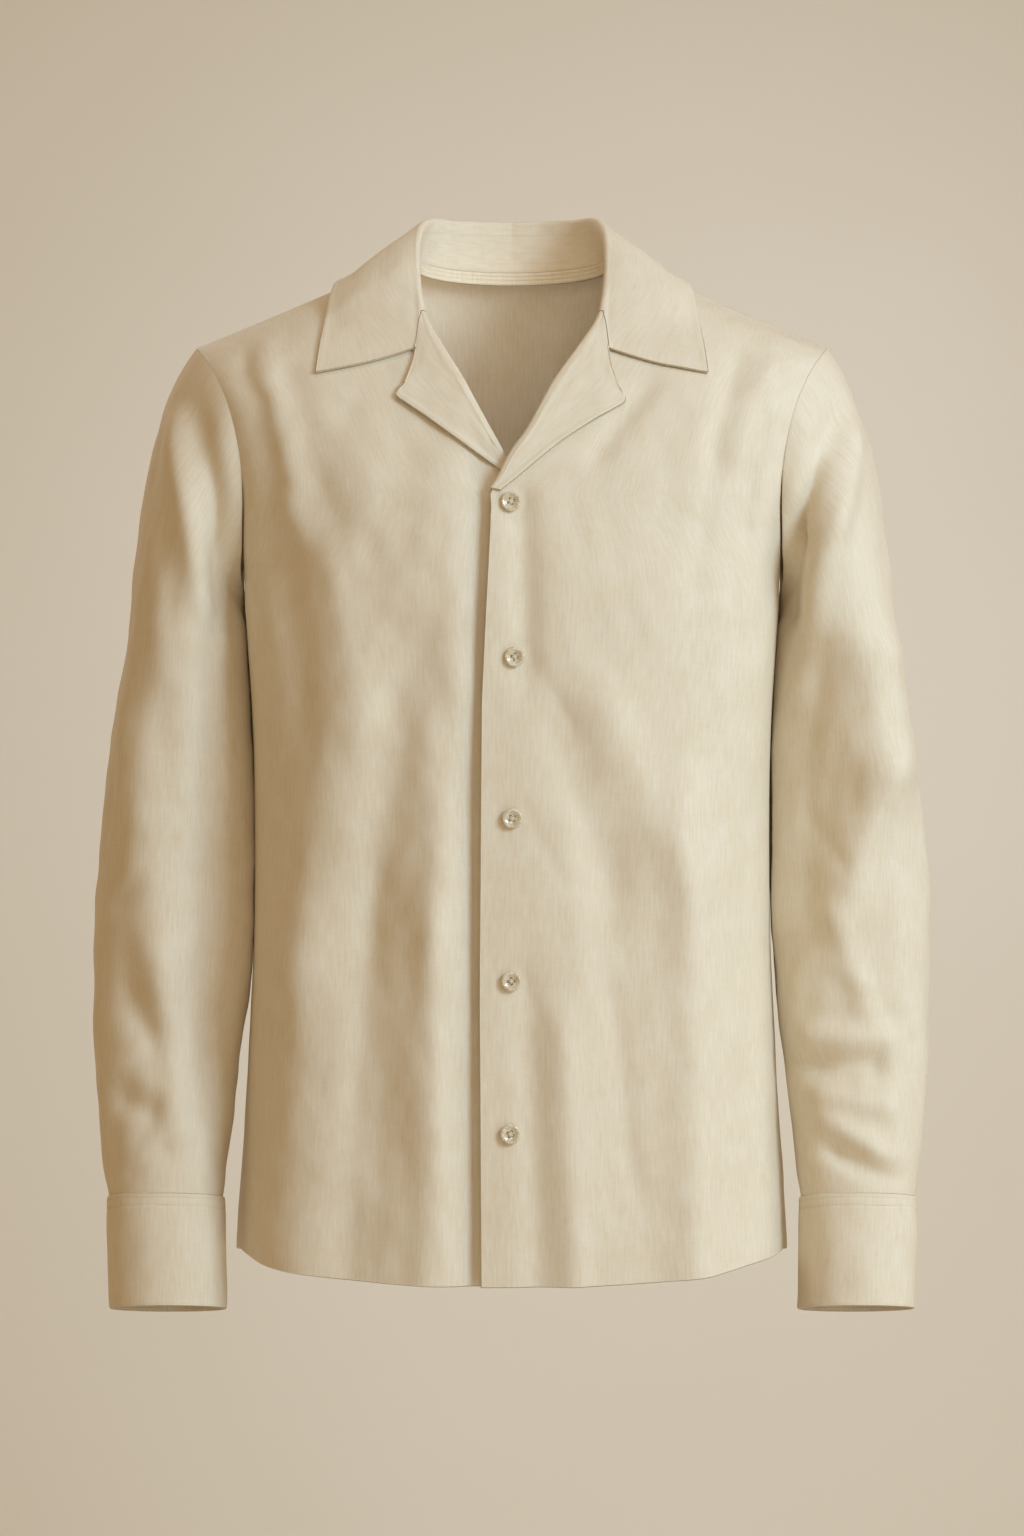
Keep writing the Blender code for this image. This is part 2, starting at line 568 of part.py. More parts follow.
# ---------------------------------------------------------------- sleeves and cuffs
def armhole(sheets, normals):
    """Points and normals round the left armhole: shoulder, front, underarm, back."""
    armpit = sum(BODY_STEPS[:ARMPIT_ROW])
    front, back = sheets["front_left"][:, -1], sheets["back"][:, 0]
    loop = np.concatenate([front[:armpit - 1:-1], back[armpit + 1:-1]])
    front_way, back_way = normals["front_left"][:, -1], normals["back"][:, 0]
    ways = np.concatenate([front_way[:armpit - 1:-1], back_way[armpit + 1:-1]])
    return loop, ways


def ring_points(table, where, angles):
    """Rings of a sleeve: middle + outward x half width x cos + forward x half depth x sin."""
    data = smooth_table(np.array(table, dtype=float), where)
    lean = np.radians(data[:, 5])[:, None]
    sine, cosine = np.sin(angles)[None, :], np.cos(angles)[None, :]
    x = data[:, 0:1] + data[:, 3:4] * cosine
    y = data[:, 1:2] - data[:, 4:5] * sine * np.cos(lean)
    z = data[:, 2:3] + data[:, 4:5] * sine * np.sin(lean)
    return np.stack([x, y, z], axis=2)


def loop_angles(loop):
    """Angle of each armhole point: 0 at the shoulder, half a turn at the underarm."""
    low = int(np.argmin(loop[:, 2]))
    closed = np.concatenate([loop, loop[:1]])
    run = np.concatenate([[0.0], np.cumsum(np.linalg.norm(np.diff(closed, axis=0), axis=1))])
    front = math.pi * run[:low + 1] / run[low]
    back = math.pi + math.pi * (run[low + 1:-1] - run[low]) / (run[-1] - run[low])
    return np.concatenate([front, back])


def sleeve_grid(sheets, normals):
    """Left sleeve: a Hermite run from the armhole to the first ring, then the rings."""
    loop, ways = armhole(sheets, normals)
    angles = loop_angles(loop)
    top = np.cos(angles)[:, None]
    tuck = smooth_step((0.35 - top) / 1.25)
    leave = unit(np.concatenate([0.55 + 0.05 * top, -0.12 * np.sin(angles)[:, None],
                                 -0.93 + 0.13 * top], axis=1))
    start = loop + SEAM_GAP * 1.6 * (1 - tuck) * leave + ARMHOLE_START * tuck * ways
    rings = ring_points(SLEEVE_RINGS, np.linspace(0, len(SLEEVE_RINGS) - 1, SLEEVE_ROWS), angles)
    end = rings[0]
    span = np.linalg.norm(end - start, axis=1)[:, None]
    reach_start = span * (0.79 + 0.09 * top)
    reach_end = span * 0.9 * np.array([[0.06, 0.0, -1.0]])
    share = np.linspace(0, 1, CAP_ROWS, endpoint=False)[:, None, None] ** 1.15
    run = ((2 * share**3 - 3 * share**2 + 1) * start + (3 * share**2 - 2 * share**3) * end
           + (share**3 - 2 * share**2 + share) * (reach_start * leave) + (share**3 - share**2) * reach_end)
    return np.concatenate([run, rings]), angles, tuck[:, 0]


def dress_sleeve(grid, angles, folds, seam_rows=3.0):
    """Folds of a sleeve, front and back apart, fading at its two seams."""
    front = smooth_step(0.5 + 1.2 * np.sin(angles))[None, :]
    rows = np.arange(len(grid))[:, None]
    fade = smooth_step(rows / seam_rows) * smooth_step((len(grid) - 1 - rows) / 2.0)
    height = front * fold_field(grid, folds) + (1 - front) * fold_field(grid, SLEEVE_BACK)
    return grid + (height * fade)[..., None] * grid_normals(grid, closed=True)


def build_sleeves(sheets, normals):
    """Both sleeves with their cuffs."""
    plain, angles, tuck = sleeve_grid(sheets, normals)
    for name, folds in (("left", SLEEVE_LEFT_FRONT), ("right", SLEEVE_RIGHT_FRONT)):
        grid = dress_sleeve(plain, angles, folds)
        for panel, side in (("front_" + name, None), ("back", None)):
            below = sheets[panel] if name == "left" else mirror(sheets[panel])
            way = normals[panel] if name == "left" else mirror(normals[panel])
            clear = (WALL + LAY_CLEAR + 0.5) * tuck[None, :]
            clear = np.where(tuck[None, :] > 0.02, clear, -1e6)
            grid = lay_over(grid, below, way, clear)
        way = grid_normals(grid, closed=True)
        loop, ways = armhole(sheets, normals)
        blend = (1 - tuck)[:, None]
        way[0] = unit(way[0] * (1 - blend) + ways * blend)
        cuff_count = len(angles)
        cuff = ring_points(CUFF_RINGS, np.linspace(0, len(CUFF_RINGS) - 1, CUFF_ROWS), angles)
        cuff_way = grid_normals(cuff, closed=True)
        if name == "right":
            grid, way, cuff, cuff_way = (mirror(item)[:, ::-1] for item in (grid, way, cuff, cuff_way))
        wall("sleeve_" + name, grid, way, WALL, CLOTH, closed=True)
        wall("cuff_" + name, cuff, cuff_way, CUFF_WALL, CLOTH, closed=True)


# ---------------------------------------------------------------- collar and lapels
def square_to(vectors, along):
    """Unit vectors: what is left of vectors square to the unit vectors along."""
    return unit(vectors - (vectors * along).sum(axis=-1, keepdims=True) * along)


def fold_arc(centre, inward, outward, radius, bend):
    """Four points round each fold: its crest faces away from inward, its end is outward."""
    angle = np.linspace(-0.5, 0.5, 4)[None, :, None] * np.reshape(bend, (-1, 1, 1))
    radius = np.reshape(radius, (-1, 1, 1))
    return centre[:, None] + radius * (np.sin(angle) * outward[:, None] - np.cos(angle) * inward[:, None])


def neck_half(count):
    """Neck seam from the gorge round the side to the centre back, count equal steps."""
    inner = np.stack([column(FRONT_ROWS, name) for name in ("in_x", "in_y", "in_z")], axis=1)
    gorge = len(FRONT_ROWS) - 3 + GORGE_SHARE
    front = smooth_table(inner, np.linspace(gorge, len(FRONT_ROWS) - 1, 16))
    top = back_top_edge(200)
    back = top[np.abs(top[:, 0]) < FRONT_ROWS[-1].in_x - 0.5][::-1]
    return even_out(np.concatenate([front, back])[None], count)[0]


def toward_neck(points):
    """Level unit vectors from points toward the middle of the neck."""
    ways = np.array([NECK_MIDDLE[0], NECK_MIDDLE[1], 0.0]) - points
    ways[:, 2] = 0.0
    return unit(ways)


def collar_half():
    """Left half of the collar's middle surface: rows round the neck, columns across it."""
    count = COLLAR_COLUMNS // 2 + 1
    seam = neck_half(count)
    seam = seam + STAND_INSET * toward_neck(seam) - np.array([0.0, 0.0, SEAM_SINK])
    near_end = 1 - smooth_step(np.arange(count) / GORGE_ROWS)
    seam = seam + near_end[:, None] * (np.array(GORGE_FOOT) - seam[0])
    stations = np.linspace(0, len(COLLAR_STATIONS) - 1, count)
    data = smooth_table(np.array(COLLAR_STATIONS, dtype=float), stations)
    roll, leaf = data[:, :3], data[:, 3:]
    along = unit(np.gradient(roll, axis=0))
    to_seam, to_leaf = square_to(seam - roll, along), square_to(leaf - roll, along)
    inward, outward = unit(to_seam + to_leaf), unit(to_leaf - to_seam)
    bend = math.pi - np.arccos(np.clip((to_seam * to_leaf).sum(axis=1), -1.0, 1.0))
    arc = fold_arc(roll + ROLL_RADIUS * inward, inward, outward, ROLL_RADIUS, bend)
    stand = seam[:, None, :] + np.array([0.0, 0.4, 0.8])[None, :, None] * (arc[:, :1] - seam[:, None, :])
    start = arc[:, -1]
    even = np.linspace(0, 1, LEAF_STEPS + 1)[1:]
    ease = smooth_step(np.arange(count) / END_EASE)[:, None]
    half = LEAF_STEPS // 2
    end_shares = np.concatenate([np.linspace(0, NOTCH_SHARE, half + 1)[1:],
                                 np.linspace(NOTCH_SHARE, 1, half + 1)[1:]])
    share = (ease * even[None, :] + (1 - ease) * end_shares[None, :])[..., None]
    fall = start[:, None, :] + share * (leaf - start)[:, None, :]
    face = unit(np.cross(leaf - start, np.gradient(roll, axis=0)))[:, None, :]
    face = face * np.sign(face[..., 2:3] + 1e-9)
    fall = fall + COLLAR_BOW * (4 * share * (1 - share)) * face
    notch = np.array(NOTCH)
    first = np.linspace(0, 1, half + 1)[1:, None]
    end = np.concatenate([start[0] + first * (notch - start[0]), notch + first * (leaf[0] - notch)])
    end[half:, 2] -= END_SAG * (4 * first * (1 - first))[:, 0]
    fall = fall + (1 - ease)[..., None] * (end - fall[0])[None]
    return np.concatenate([stand, arc, fall], axis=1)


def build_collar(sheets, normals):
    """The collar in one piece; gives its left and right end columns for the lapels."""
    half = collar_half()
    grid = np.concatenate([half, mirror(half)[::-1][1:]], axis=0)
    loose = 3 + 4
    for name in ("back", "front_left", "front_right"):
        leaf = grid[:, loose:]
        grid[:, loose:] = lay_over(leaf, sheets[name], normals[name], WALL + LAY_CLEAR + COLLAR_LIFT)
    way = grid_normals(grid)
    wall("collar", grid, way, WALL, CLOTH)
    return grid, way


def surface_depth(x, z, grid, normals):
    """Depth y of a front at (x, z): its tangent planes weighted by nearness in that view."""
    usable = normals[..., 1] < -0.25
    samples, ways = grid[usable], normals[usable]
    dx = x[..., None] - samples[:, 0]
    dz = z[..., None] - samples[:, 2]
    square = dx ** 2 + dz ** 2
    weight = np.exp(-(square - square.min(axis=-1, keepdims=True)) / SAMPLE_REACH ** 2)
    planes = samples[:, 1] - (ways[:, 0] * dx + ways[:, 2] * dz) / ways[:, 1]
    return (weight * planes).sum(axis=-1) / weight.sum(axis=-1)


def past_end(collar, collar_way, count):
    """A curve a small gap beyond the collar's left end, with the wall's normals there."""
    end = collar[0, :count]
    away = square_to(end - collar[1, :count], unit(np.gradient(end, axis=0)))
    return end + LAPEL_GAP * away, -collar_way[0, :count]


def lapel_grid(panel, ways, outline, start, start_way, break_level):
    """Left lapel: rows from the gorge to the break, columns round the roll to its edge."""
    count = LAPEL_ROWS
    levels = np.linspace(start[LAPEL_INSIDE, 2] - 2.0, break_level, count)
    rows = np.interp(levels, panel[:, 0, 2], np.arange(len(panel)))
    edge, inward = smooth_table(panel[:, 0], rows), smooth_table(panel[:, 1] - panel[:, 0], rows)
    out = smooth_table(ways[:, 0], rows)
    inward = unit(inward - (inward * out).sum(axis=1, keepdims=True) * out)
    close = smooth_step((np.arange(count) - (count - ROLL_CLOSE_ROWS)) / (ROLL_CLOSE_ROWS - 1))[:, None]
    radius = ROLL_RADIUS + close * (END_RADIUS - ROLL_RADIUS)
    centre = edge - (ROLL_BEYOND + close * (END_BEYOND - ROLL_BEYOND)) * inward
    run_on = np.linspace(ROLL_INSIDE, 0, LAPEL_INSIDE, endpoint=False)[None, :, None]
    inside = centre[:, None] + inward[:, None] * run_on - radius[:, None] * out[:, None]
    arc = fold_arc(centre, inward, out, radius, math.pi)
    flap_edge = smooth_table(np.array(outline, dtype=float), np.linspace(0, len(outline) - 1, count))
    share = np.linspace(0, 1, LEAF_STEPS // 2 + 1)[None, 1:]
    x = arc[:, -1, 0:1] * (1 - share) + flap_edge[:, 0:1] * share
    z = arc[:, -1, 2:3] * (1 - share) + flap_edge[:, 1:2] * share
    lift = WALL + LAY_CLEAR + flap_edge[:, 2:3] * share + ROLL_SOFT * (1 - close) * (1 - share) ** 2
    flap = np.stack([x, surface_depth(x, z, panel, ways) - lift, z], axis=2)
    flap = lay_over(flap, panel, ways, lift)
    grid = np.concatenate([inside, arc, flap], axis=1)
    ease = smooth_step(np.arange(count) / 2.5)[:, None, None]
    grid = grid + (1 - ease) * (start - grid[0])[None]
    way = grid_normals(grid)
    way[0] = start_way
    return grid, way


def build_lapels(sheets, normals, collar, collar_way):
    """Both lapels, each starting at the collar's end column."""
    count = LAPEL_INSIDE + 4 + LEAF_STEPS // 2
    start, start_way = past_end(collar, collar_way, count)
    grid, way = lapel_grid(sheets["front_left"], normals["front_left"], LAPEL_LEFT, start, start_way,
                           LEFT_BREAK)
    wall("lapel_left", grid, way, WALL, CLOTH)
    start, start_way = past_end(mirror(collar)[::-1], mirror(collar_way)[::-1], count)
    panel, ways = mirror(sheets["front_right"])[:, ::-1], mirror(normals["front_right"])[:, ::-1]
    right, way = lapel_grid(panel, ways, LAPEL_RIGHT, start, start_way, RIGHT_BREAK)
    right, way = mirror(right), mirror(way)
    right = lay_over(right, grid, -grid_normals(grid), WALL + LAY_CLEAR, near=10.0, far=20.0)
    wall("lapel_right", right, way, WALL, CLOTH)


def build_tape():
    """The narrow tape with three stitched ridges over the back neck seam."""
    line = neck_half(COLLAR_COLUMNS // 2 + 1)
    line = line[line[:, 1] > TAPE_START_Y]
    line = np.concatenate([line, mirror(line)[::-1][1:]])
    inward = toward_neck(line)
    share = np.linspace(0, 1, TAPE_ROWS)[:, None, None]
    ridge = TAPE_RIDGE * np.abs(np.sin(3 * math.pi * share))
    offset = STAND_INSET + 0.5 * (WALL + TAPE_WALL) + 3 * SEAM_GAP
    level = np.array([0.0, 0.0, 1.0]) * (TAPE_TOP - TAPE_HEIGHT * (1 - share))
    middle = line[None] + offset * inward[None] + level
    outer, inner = middle + (0.5 * TAPE_WALL + ridge) * inward[None], middle - 0.5 * TAPE_WALL * inward[None]
    thick = np.linalg.norm(outer - inner, axis=2, keepdims=True)
    wall("neck_tape", 0.5 * (outer + inner), inward[None] * thick, 1.0, CLOTH)


def button_profile():
    """Radius and height of the button's turned outline, from the back's rim to the dish."""
    radius, thick = 0.5 * BUTTON_DIAMETER, BUTTON_THICK
    return [(0.80 * radius, 0.0), (0.96 * radius, 0.22 * thick), (radius, 0.55 * thick),
            (0.93 * radius, 0.92 * thick), (0.82 * radius, thick), (0.66 * radius, 0.80 * thick),
            (0.36 * radius, 0.66 * thick)]


def build_button(number, level, aside, sheets, normals):
    """A turned button lying on the top front, square to the cloth under it."""
    panel, ways = sheets["front_left"], normals["front_left"]
    x, z = np.array(aside), np.array(level)
    foot = np.array([aside, float(surface_depth(x, z, panel, ways)), level])
    _, way, _ = height_over(foot[None], panel, ways, SAMPLE_REACH)
    out = way[0]
    cloth = denser(panel, 8).reshape(-1, 3) - foot
    under = np.linalg.norm(cloth - (cloth @ out)[:, None] * out, axis=1) < 0.5 * BUTTON_DIAMETER
    foot = foot + (cloth[under & (np.abs(cloth @ out) < 20.0)] @ out).max() * out
    side = unit(np.cross(out, np.array([0.0, 0.0, 1.0])))
    up = np.cross(side, out)
    angle = np.linspace(0, 2 * math.pi, BUTTON_SIDES, endpoint=False)
    circle = np.cos(angle)[:, None] * side + np.sin(angle)[:, None] * up
    base = foot + (0.5 * WALL + BUTTON_LIFT) * out
    rings = [base + radius * circle + height * out for radius, height in button_profile()]
    vertices = np.concatenate(rings)
    faces = [tuple(range(BUTTON_SIDES))[::-1]]
    for ring in range(len(rings) - 1):
        for place in range(BUTTON_SIDES):
            a = ring * BUTTON_SIDES + place
            b = ring * BUTTON_SIDES + (place + 1) % BUTTON_SIDES
            faces.append((a, b, b + BUTTON_SIDES, a + BUTTON_SIDES))
    last = (len(rings) - 1) * BUTTON_SIDES
    faces.append(tuple(range(last, last + BUTTON_SIDES)))
    mesh_object("button_%d" % number, vertices, faces, SHELL, roughness=0.25)


def main():
    """Build the shirt."""
    for thing in list(bpy.data.objects):
        bpy.data.objects.remove(thing, do_unlink=True)
    sheets = build_surfaces()
    normals = body_normals(sheets)
    build_sleeves(sheets, normals)
    collar, collar_way = build_collar(sheets, normals)
    build_lapels(sheets, normals, collar, collar_way)
    build_tape()
    for number, (level, aside) in enumerate(zip(BUTTON_LEVELS, BUTTON_OFFSETS), start=1):
        build_button(number, level, aside, sheets, normals)
    half_gap = 0.5 * SEAM_GAP + 0.02
    edges = {"front_left": ("last_column", "last_row"), "front_right": ("first_column", "last_row"),
             "back": ("first_column", "last_column", "last_row")}
    for name, grid in sheets.items():
        wall(name, set_back(grid, half_gap, edges[name]), normals[name], WALL, CLOTH)


main()
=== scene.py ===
"""Camp collar shirt with long sleeves, filled out as it is worn, with nobody in it.

Surfaces are worked out in millimetres: +Z up, the fronts face -Y and the wearer's left is
+X.  Every piece of cloth is a thin closed shell round a middle surface, which is a function
of two parameters on a grid.  Grids count their rows and columns in the pattern's own steps,
so a finer grid has more points on the same surface.
"""
from __future__ import annotations

import logging
import math
from dataclasses import dataclass, field
from enum import Enum
from typing import NamedTuple

import bpy
import numpy as np
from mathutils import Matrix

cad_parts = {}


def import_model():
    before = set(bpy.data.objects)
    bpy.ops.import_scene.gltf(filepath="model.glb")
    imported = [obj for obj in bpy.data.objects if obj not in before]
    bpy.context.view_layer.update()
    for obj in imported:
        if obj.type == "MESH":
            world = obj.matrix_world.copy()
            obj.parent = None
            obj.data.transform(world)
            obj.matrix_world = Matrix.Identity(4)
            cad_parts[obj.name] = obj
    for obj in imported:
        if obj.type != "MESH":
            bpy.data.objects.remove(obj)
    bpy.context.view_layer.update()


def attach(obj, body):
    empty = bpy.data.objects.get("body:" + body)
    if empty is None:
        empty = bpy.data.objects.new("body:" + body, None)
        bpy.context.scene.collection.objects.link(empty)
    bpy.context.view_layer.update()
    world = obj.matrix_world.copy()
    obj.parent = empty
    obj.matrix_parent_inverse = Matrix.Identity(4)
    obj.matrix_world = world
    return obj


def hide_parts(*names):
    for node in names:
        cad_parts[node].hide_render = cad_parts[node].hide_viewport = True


Array = np.ndarray
MM = 0.001
LOG = logging.getLogger("shirt")
SAMPLE_REACH = 7.0      # how far a panel's points are felt by what lies on it
ROLL_RADIUS = 2.7       # turn of the collar and lapels round their roll line
WALL = 1.6              # cloth with its turned allowance, which pieces keep clear of
LAY_CLEAR = 0.45        # air between a piece and the panel that it lies on
STAND_END, ROLL_END, NOTCH_AT, LEAF_END = 3.0, 6.0, 10.0, 14.0     # places across the collar
CUFF_SEAMS = (2.4, 8.4)     # two stitched lines, from the cuff's top edge
SEAM_THIN, SEAM_REACH = 0.15, 1.6       # share of the cloth's thickness lost at a seam, and how far in


class Side(Enum):
    """The wearer's sides, with the sign of their X."""

    LEFT = 1
    RIGHT = -1

    def named(self, part: str) -> str:
        """A part's name on this side, such as sleeve_left."""
        return part + "_" + self.name.lower()


# ---------------------------------------------------------------- tables, in millimetres
class FrontRow(NamedTuple):
    """A level of one front: inner edge, outer edge, headings in degrees, handle lengths."""

    in_x: float
    in_y: float
    in_z: float
    out_x: float
    out_y: float
    out_z: float
    in_turn: float
    out_turn: float
    in_pull: float
    out_pull: float


class BackRow(NamedTuple):
    """A level of half the back: centre line, outer edge, heading and handle lengths."""

    mid_y: float
    mid_z: float
    out_x: float
    out_y: float
    out_z: float
    out_turn: float
    mid_pull: float
    out_pull: float


class Ring(NamedTuple):
    """A sleeve or cuff ring: middle, half width, half depth and lean in degrees."""

    mid_x: float
    mid_y: float
    mid_z: float
    half_wide: float
    half_deep: float
    lean: float


class Station(NamedTuple):
    """A place along the collar: its roll line and the leaf's outer edge."""

    roll_x: float
    roll_y: float
    roll_z: float
    leaf_x: float
    leaf_y: float
    leaf_z: float


class EdgePoint(NamedTuple):
    """A point of a lapel's edge seen from the front, and how far it stands off."""

    x: float
    z: float
    lift: float


class Waves(NamedTuple):
    """Unevenness of one size: height, seed, and longest and shortest wavelength."""

    height: float
    seed: int
    longest: float
    shortest: float


class Fold(NamedTuple):
    """A fold seen from the front or back: its line, half width, and height or depth."""

    x0: float
    z0: float
    x1: float
    z1: float
    half_width: float
    height: float


FRONT_ROWS = [
    FrontRow(0, -118, -722, 193.0, -24, -705, 0, 80, 0.60, 0.34),
    FrontRow(0, -118, -690, 192.0, -24, -682, 0, 80, 0.60, 0.34),
    FrontRow(0, -117, -600, 188.0, -20, -600, 0, 80, 0.60, 0.34),
    FrontRow(0, -116, -480, 183.5, -16, -480, 0, 82, 0.60, 0.34),
    FrontRow(0, -116, -360, 184.0, -12, -360, 0, 84, 0.60, 0.36),
    FrontRow(0, -117, -270, 189.5, -5, -270, 0, 88, 0.60, 0.38),
    FrontRow(0, -116, -222, 191.5, -2, -238, 0, 88, 0.58, 0.38),
    FrontRow(0, -111, -186, 190.5, -38, -205, 2, 70, 0.50, 0.32),
    FrontRow(-5.0, -106, -160, 189.5, -55, -172, 3, 58, 0.42, 0.30),
    FrontRow(16.5, -96, -126, 192.0, -61, -140, 4, 48, 0.38, 0.30),
    FrontRow(37.2, -79, -88, 199.5, -57, -108, 4, 42, 0.34, 0.30),
    FrontRow(63.0, -52, -47, 211.0, -39, -82, 2, 34, 0.33, 0.30),
    FrontRow(70, -24, -16, 222.0, -15, -66, 0, 20, 0.33, 0.32),
    FrontRow(73, 5, 4, 227.0, 5, -60, 0, 0, 0.33, 0.33),
]
BACK_ROWS = [
    BackRow(116, -726, 193.0, -24, -705, 103, 0.58, 0.52),
    BackRow(115, -690, 192.0, -24, -682, 103, 0.58, 0.52),
    BackRow(113, -600, 188.0, -20, -600, 101, 0.58, 0.50),
    BackRow(108, -480, 183.5, -16, -480, 99, 0.58, 0.48),
    BackRow(108, -360, 184.0, -12, -360, 97, 0.58, 0.46),
    BackRow(113, -270, 189.5, -5, -270, 92, 0.58, 0.40),
    BackRow(116, -222, 191.5, -2, -238, 90, 0.58, 0.38),
    BackRow(117, -186, 191.0, 38, -205, 66, 0.50, 0.32),
    BackRow(116, -160, 192.5, 56, -172, 54, 0.42, 0.30),
    BackRow(112, -124, 198.5, 64, -140, 46, 0.38, 0.30),
    BackRow(105, -86, 207.5, 60, -108, 40, 0.34, 0.30),
    BackRow(94, -48, 216.5, 43, -82, 32, 0.33, 0.30),
    BackRow(80, -18, 224.0, 22, -66, 18, 0.33, 0.32),
    BackRow(62, -1, 227.0, 5, -60, 6, 0.33, 0.33),
]
SLEEVE_RINGS = [
    Ring(235.5, 12, -268, 41.0, 72, 0), Ring(237.5, 13, -310, 46.5, 66, 0),
    Ring(240.0, 13, -362, 51.5, 60, 1), Ring(242.5, 11, -414, 54.5, 55, 3),
    Ring(245.0, 6, -470, 55.5, 51, 6), Ring(246.5, -1, -529, 53.5, 47, 8),
    Ring(248.0, -11, -586, 49.5, 44, 9), Ring(247.5, -21, -643, 44.0, 41, 10),
    Ring(247.0, -26.5, -667.5, 40.0, 38, 10),
]
CUFF_RINGS = [
    Ring(247.0, -26.7, -668.7, 41.2, 38.5, 10), Ring(246.0, -33.6, -707, 41.0, 38.5, 10),
    Ring(244.5, -40, -746, 40.8, 38.5, 10),
]
COLLAR_STATIONS = [
    Station(62.5, -47, -38, 137.5, -69, -85), Station(66.0, -34, -17, 134.5, -51, -58.5),
    Station(67.5, -17, 5, 130.0, -29, -36.5), Station(66.0, 5, 25, 122.5, 2, -17),
    Station(60.0, 28, 36.5, 104.0, 49, -29), Station(46.0, 49, 38, 76.0, 73, -36),
    Station(24.0, 62, 38.5, 40.0, 84.5, -33), Station(0.0, 67, 38.7, 0.0, 88, -30),
]
LAPEL_LEFT = [
    EdgePoint(68.0, -70, 1.4), EdgePoint(72.0, -88, 1.2), EdgePoint(79.5, -104, 0.8),
    EdgePoint(66.0, -113, 0.5), EdgePoint(50.0, -123, 0.4), EdgePoint(34.0, -134, 0.4),
    EdgePoint(19.0, -146, 0.4), EdgePoint(5.5, -157.5, 0.4), EdgePoint(-8.0, -168.5, 0.3),
]
LAPEL_RIGHT = [
    EdgePoint(68.0, -70, 1.4), EdgePoint(72.2, -88, 1.6), EdgePoint(81.0, -100, 1.8),
    EdgePoint(68.0, -110, 1.8), EdgePoint(53.0, -121, 1.8), EdgePoint(38.0, -132, 1.6),
    EdgePoint(23.0, -143, 1.2), EdgePoint(12.0, -151, 0.8), EdgePoint(3.0, -158, 0.3),
]
EDGE_LEVELS = [-722, -523, -315, -246, -200, -186, -172, -160]
EDGE_REACH = [21.0, 22.2, 20.8, 17.5, 15.3, 14.9, 10.7, 0.0]
FOLDS = {
    "front_left": [
        Fold(36, -340, 68, -440, 16, -3.4), Fold(68, -440, 80, -640, 18, -3.6),
        Fold(64, -315, 112, -430, 17, 4.4), Fold(120, -410, 128, -710, 16, 7.0),
        Fold(167, -390, 170, -705, 17, -4.0), Fold(36, -560, 44, -715, 13, 4.5), Fold(11, -530, 18, -715, 11, -3.0),
        Fold(182, -80, 164, -140, 10, 3.5), Fold(158, -80, 142, -140, 10, -4.0),
        Fold(176, -115, 166, -190, 10, -4.0), Fold(190, -110, 182, -200, 10, 3.5),
        Fold(7, -185, 10, -290, 11, -4.5), Fold(92, -97, 62, -140, 10, -3.0),
    ],
    "front_right": [
        Fold(72, -290, 98, -470, 18, -5.5), Fold(98, -470, 107, -690, 19, -6.5),
        Fold(38, -330, 54, -480, 14, 4.0), Fold(54, -480, 59, -712, 15, 5.5),
        Fold(128, -340, 150, -500, 20, 5.0), Fold(150, -500, 158, -700, 21, 6.0),
        Fold(190, -85, 168, -220, 12, -3.0), Fold(172, -85, 150, -190, 12, 2.2),
        Fold(156, -92, 132, -175, 12, -2.4), Fold(208, -105, 194, -210, 11, 2.6),
        Fold(118, -225, 104, -330, 14, 4.0), Fold(158, -220, 148, -330, 15, -4.5),
        Fold(22, -200, 25, -720, 12, -8.0),
    ],
    "back": [
        Fold(-60, -120, -78, -420, 24, -5.5), Fold(64, -130, 72, -400, 24, -5.5),
        Fold(-20, -260, -32, -715, 26, 6.0), Fold(40, -420, 52, -712, 22, 5.5),
        Fold(-110, -300, -118, -700, 24, 5.5), Fold(118, -330, 112, -705, 24, -5.5),
        Fold(-168, -120, -140, -200, 14, -4.5), Fold(168, -120, 142, -210, 14, -4.5),
        Fold(4, -480, 8, -715, 16, -5.0), Fold(-78, -470, -74, -715, 18, -5.5),
    ],
    "sleeve_left": [
        Fold(244, -125, 226, -190, 10, 6.0), Fold(226, -190, 204, -300, 11, 7.0),
        Fold(226, -120, 200, -195, 11, -10.5), Fold(198, -195, 194, -250, 10, -9.0),
        Fold(260, -285, 260, -365, 17, 11.0), Fold(260, -365, 236, -462, 17, 11.0),
        Fold(208, -290, 206, -440, 18, -9.0), Fold(218, -554, 262, -554, 9, 6.0),
        Fold(215, -574, 256, -573, 8, -8.0), Fold(222, -594, 262, -602, 9, 5.0),
        Fold(226, -612, 262, -636, 9, 5.5), Fold(230, -634, 268, -656, 8, -6.5),
        Fold(232, -475, 250, -530, 9, 4.0), Fold(272, -360, 282, -520, 16, 4.0),
    ],
    "sleeve_right": [
        Fold(240, -120, 218, -240, 11, 7.0), Fold(218, -125, 198, -240, 13, -8.5),
        Fold(208, -240, 212, -560, 16, -8.0), Fold(268, -345, 250, -500, 17, 6.0),
        Fold(250, -500, 236, -610, 14, 4.5), Fold(276, -596, 256, -604, 11, -5.5),
        Fold(270, -520, 250, -560, 13, -5.0),
    ],
    "sleeve_back": [
        Fold(226, -130, 210, -250, 13, -5.0), Fold(250, -200, 232, -360, 15, 5.0),
        Fold(262, -400, 226, -452, 13, -6.0), Fold(226, -480, 264, -505, 12, -5.5),
        Fold(232, -540, 262, -560, 12, 4.5), Fold(228, -590, 256, -640, 11, -4.5),
    ],
}
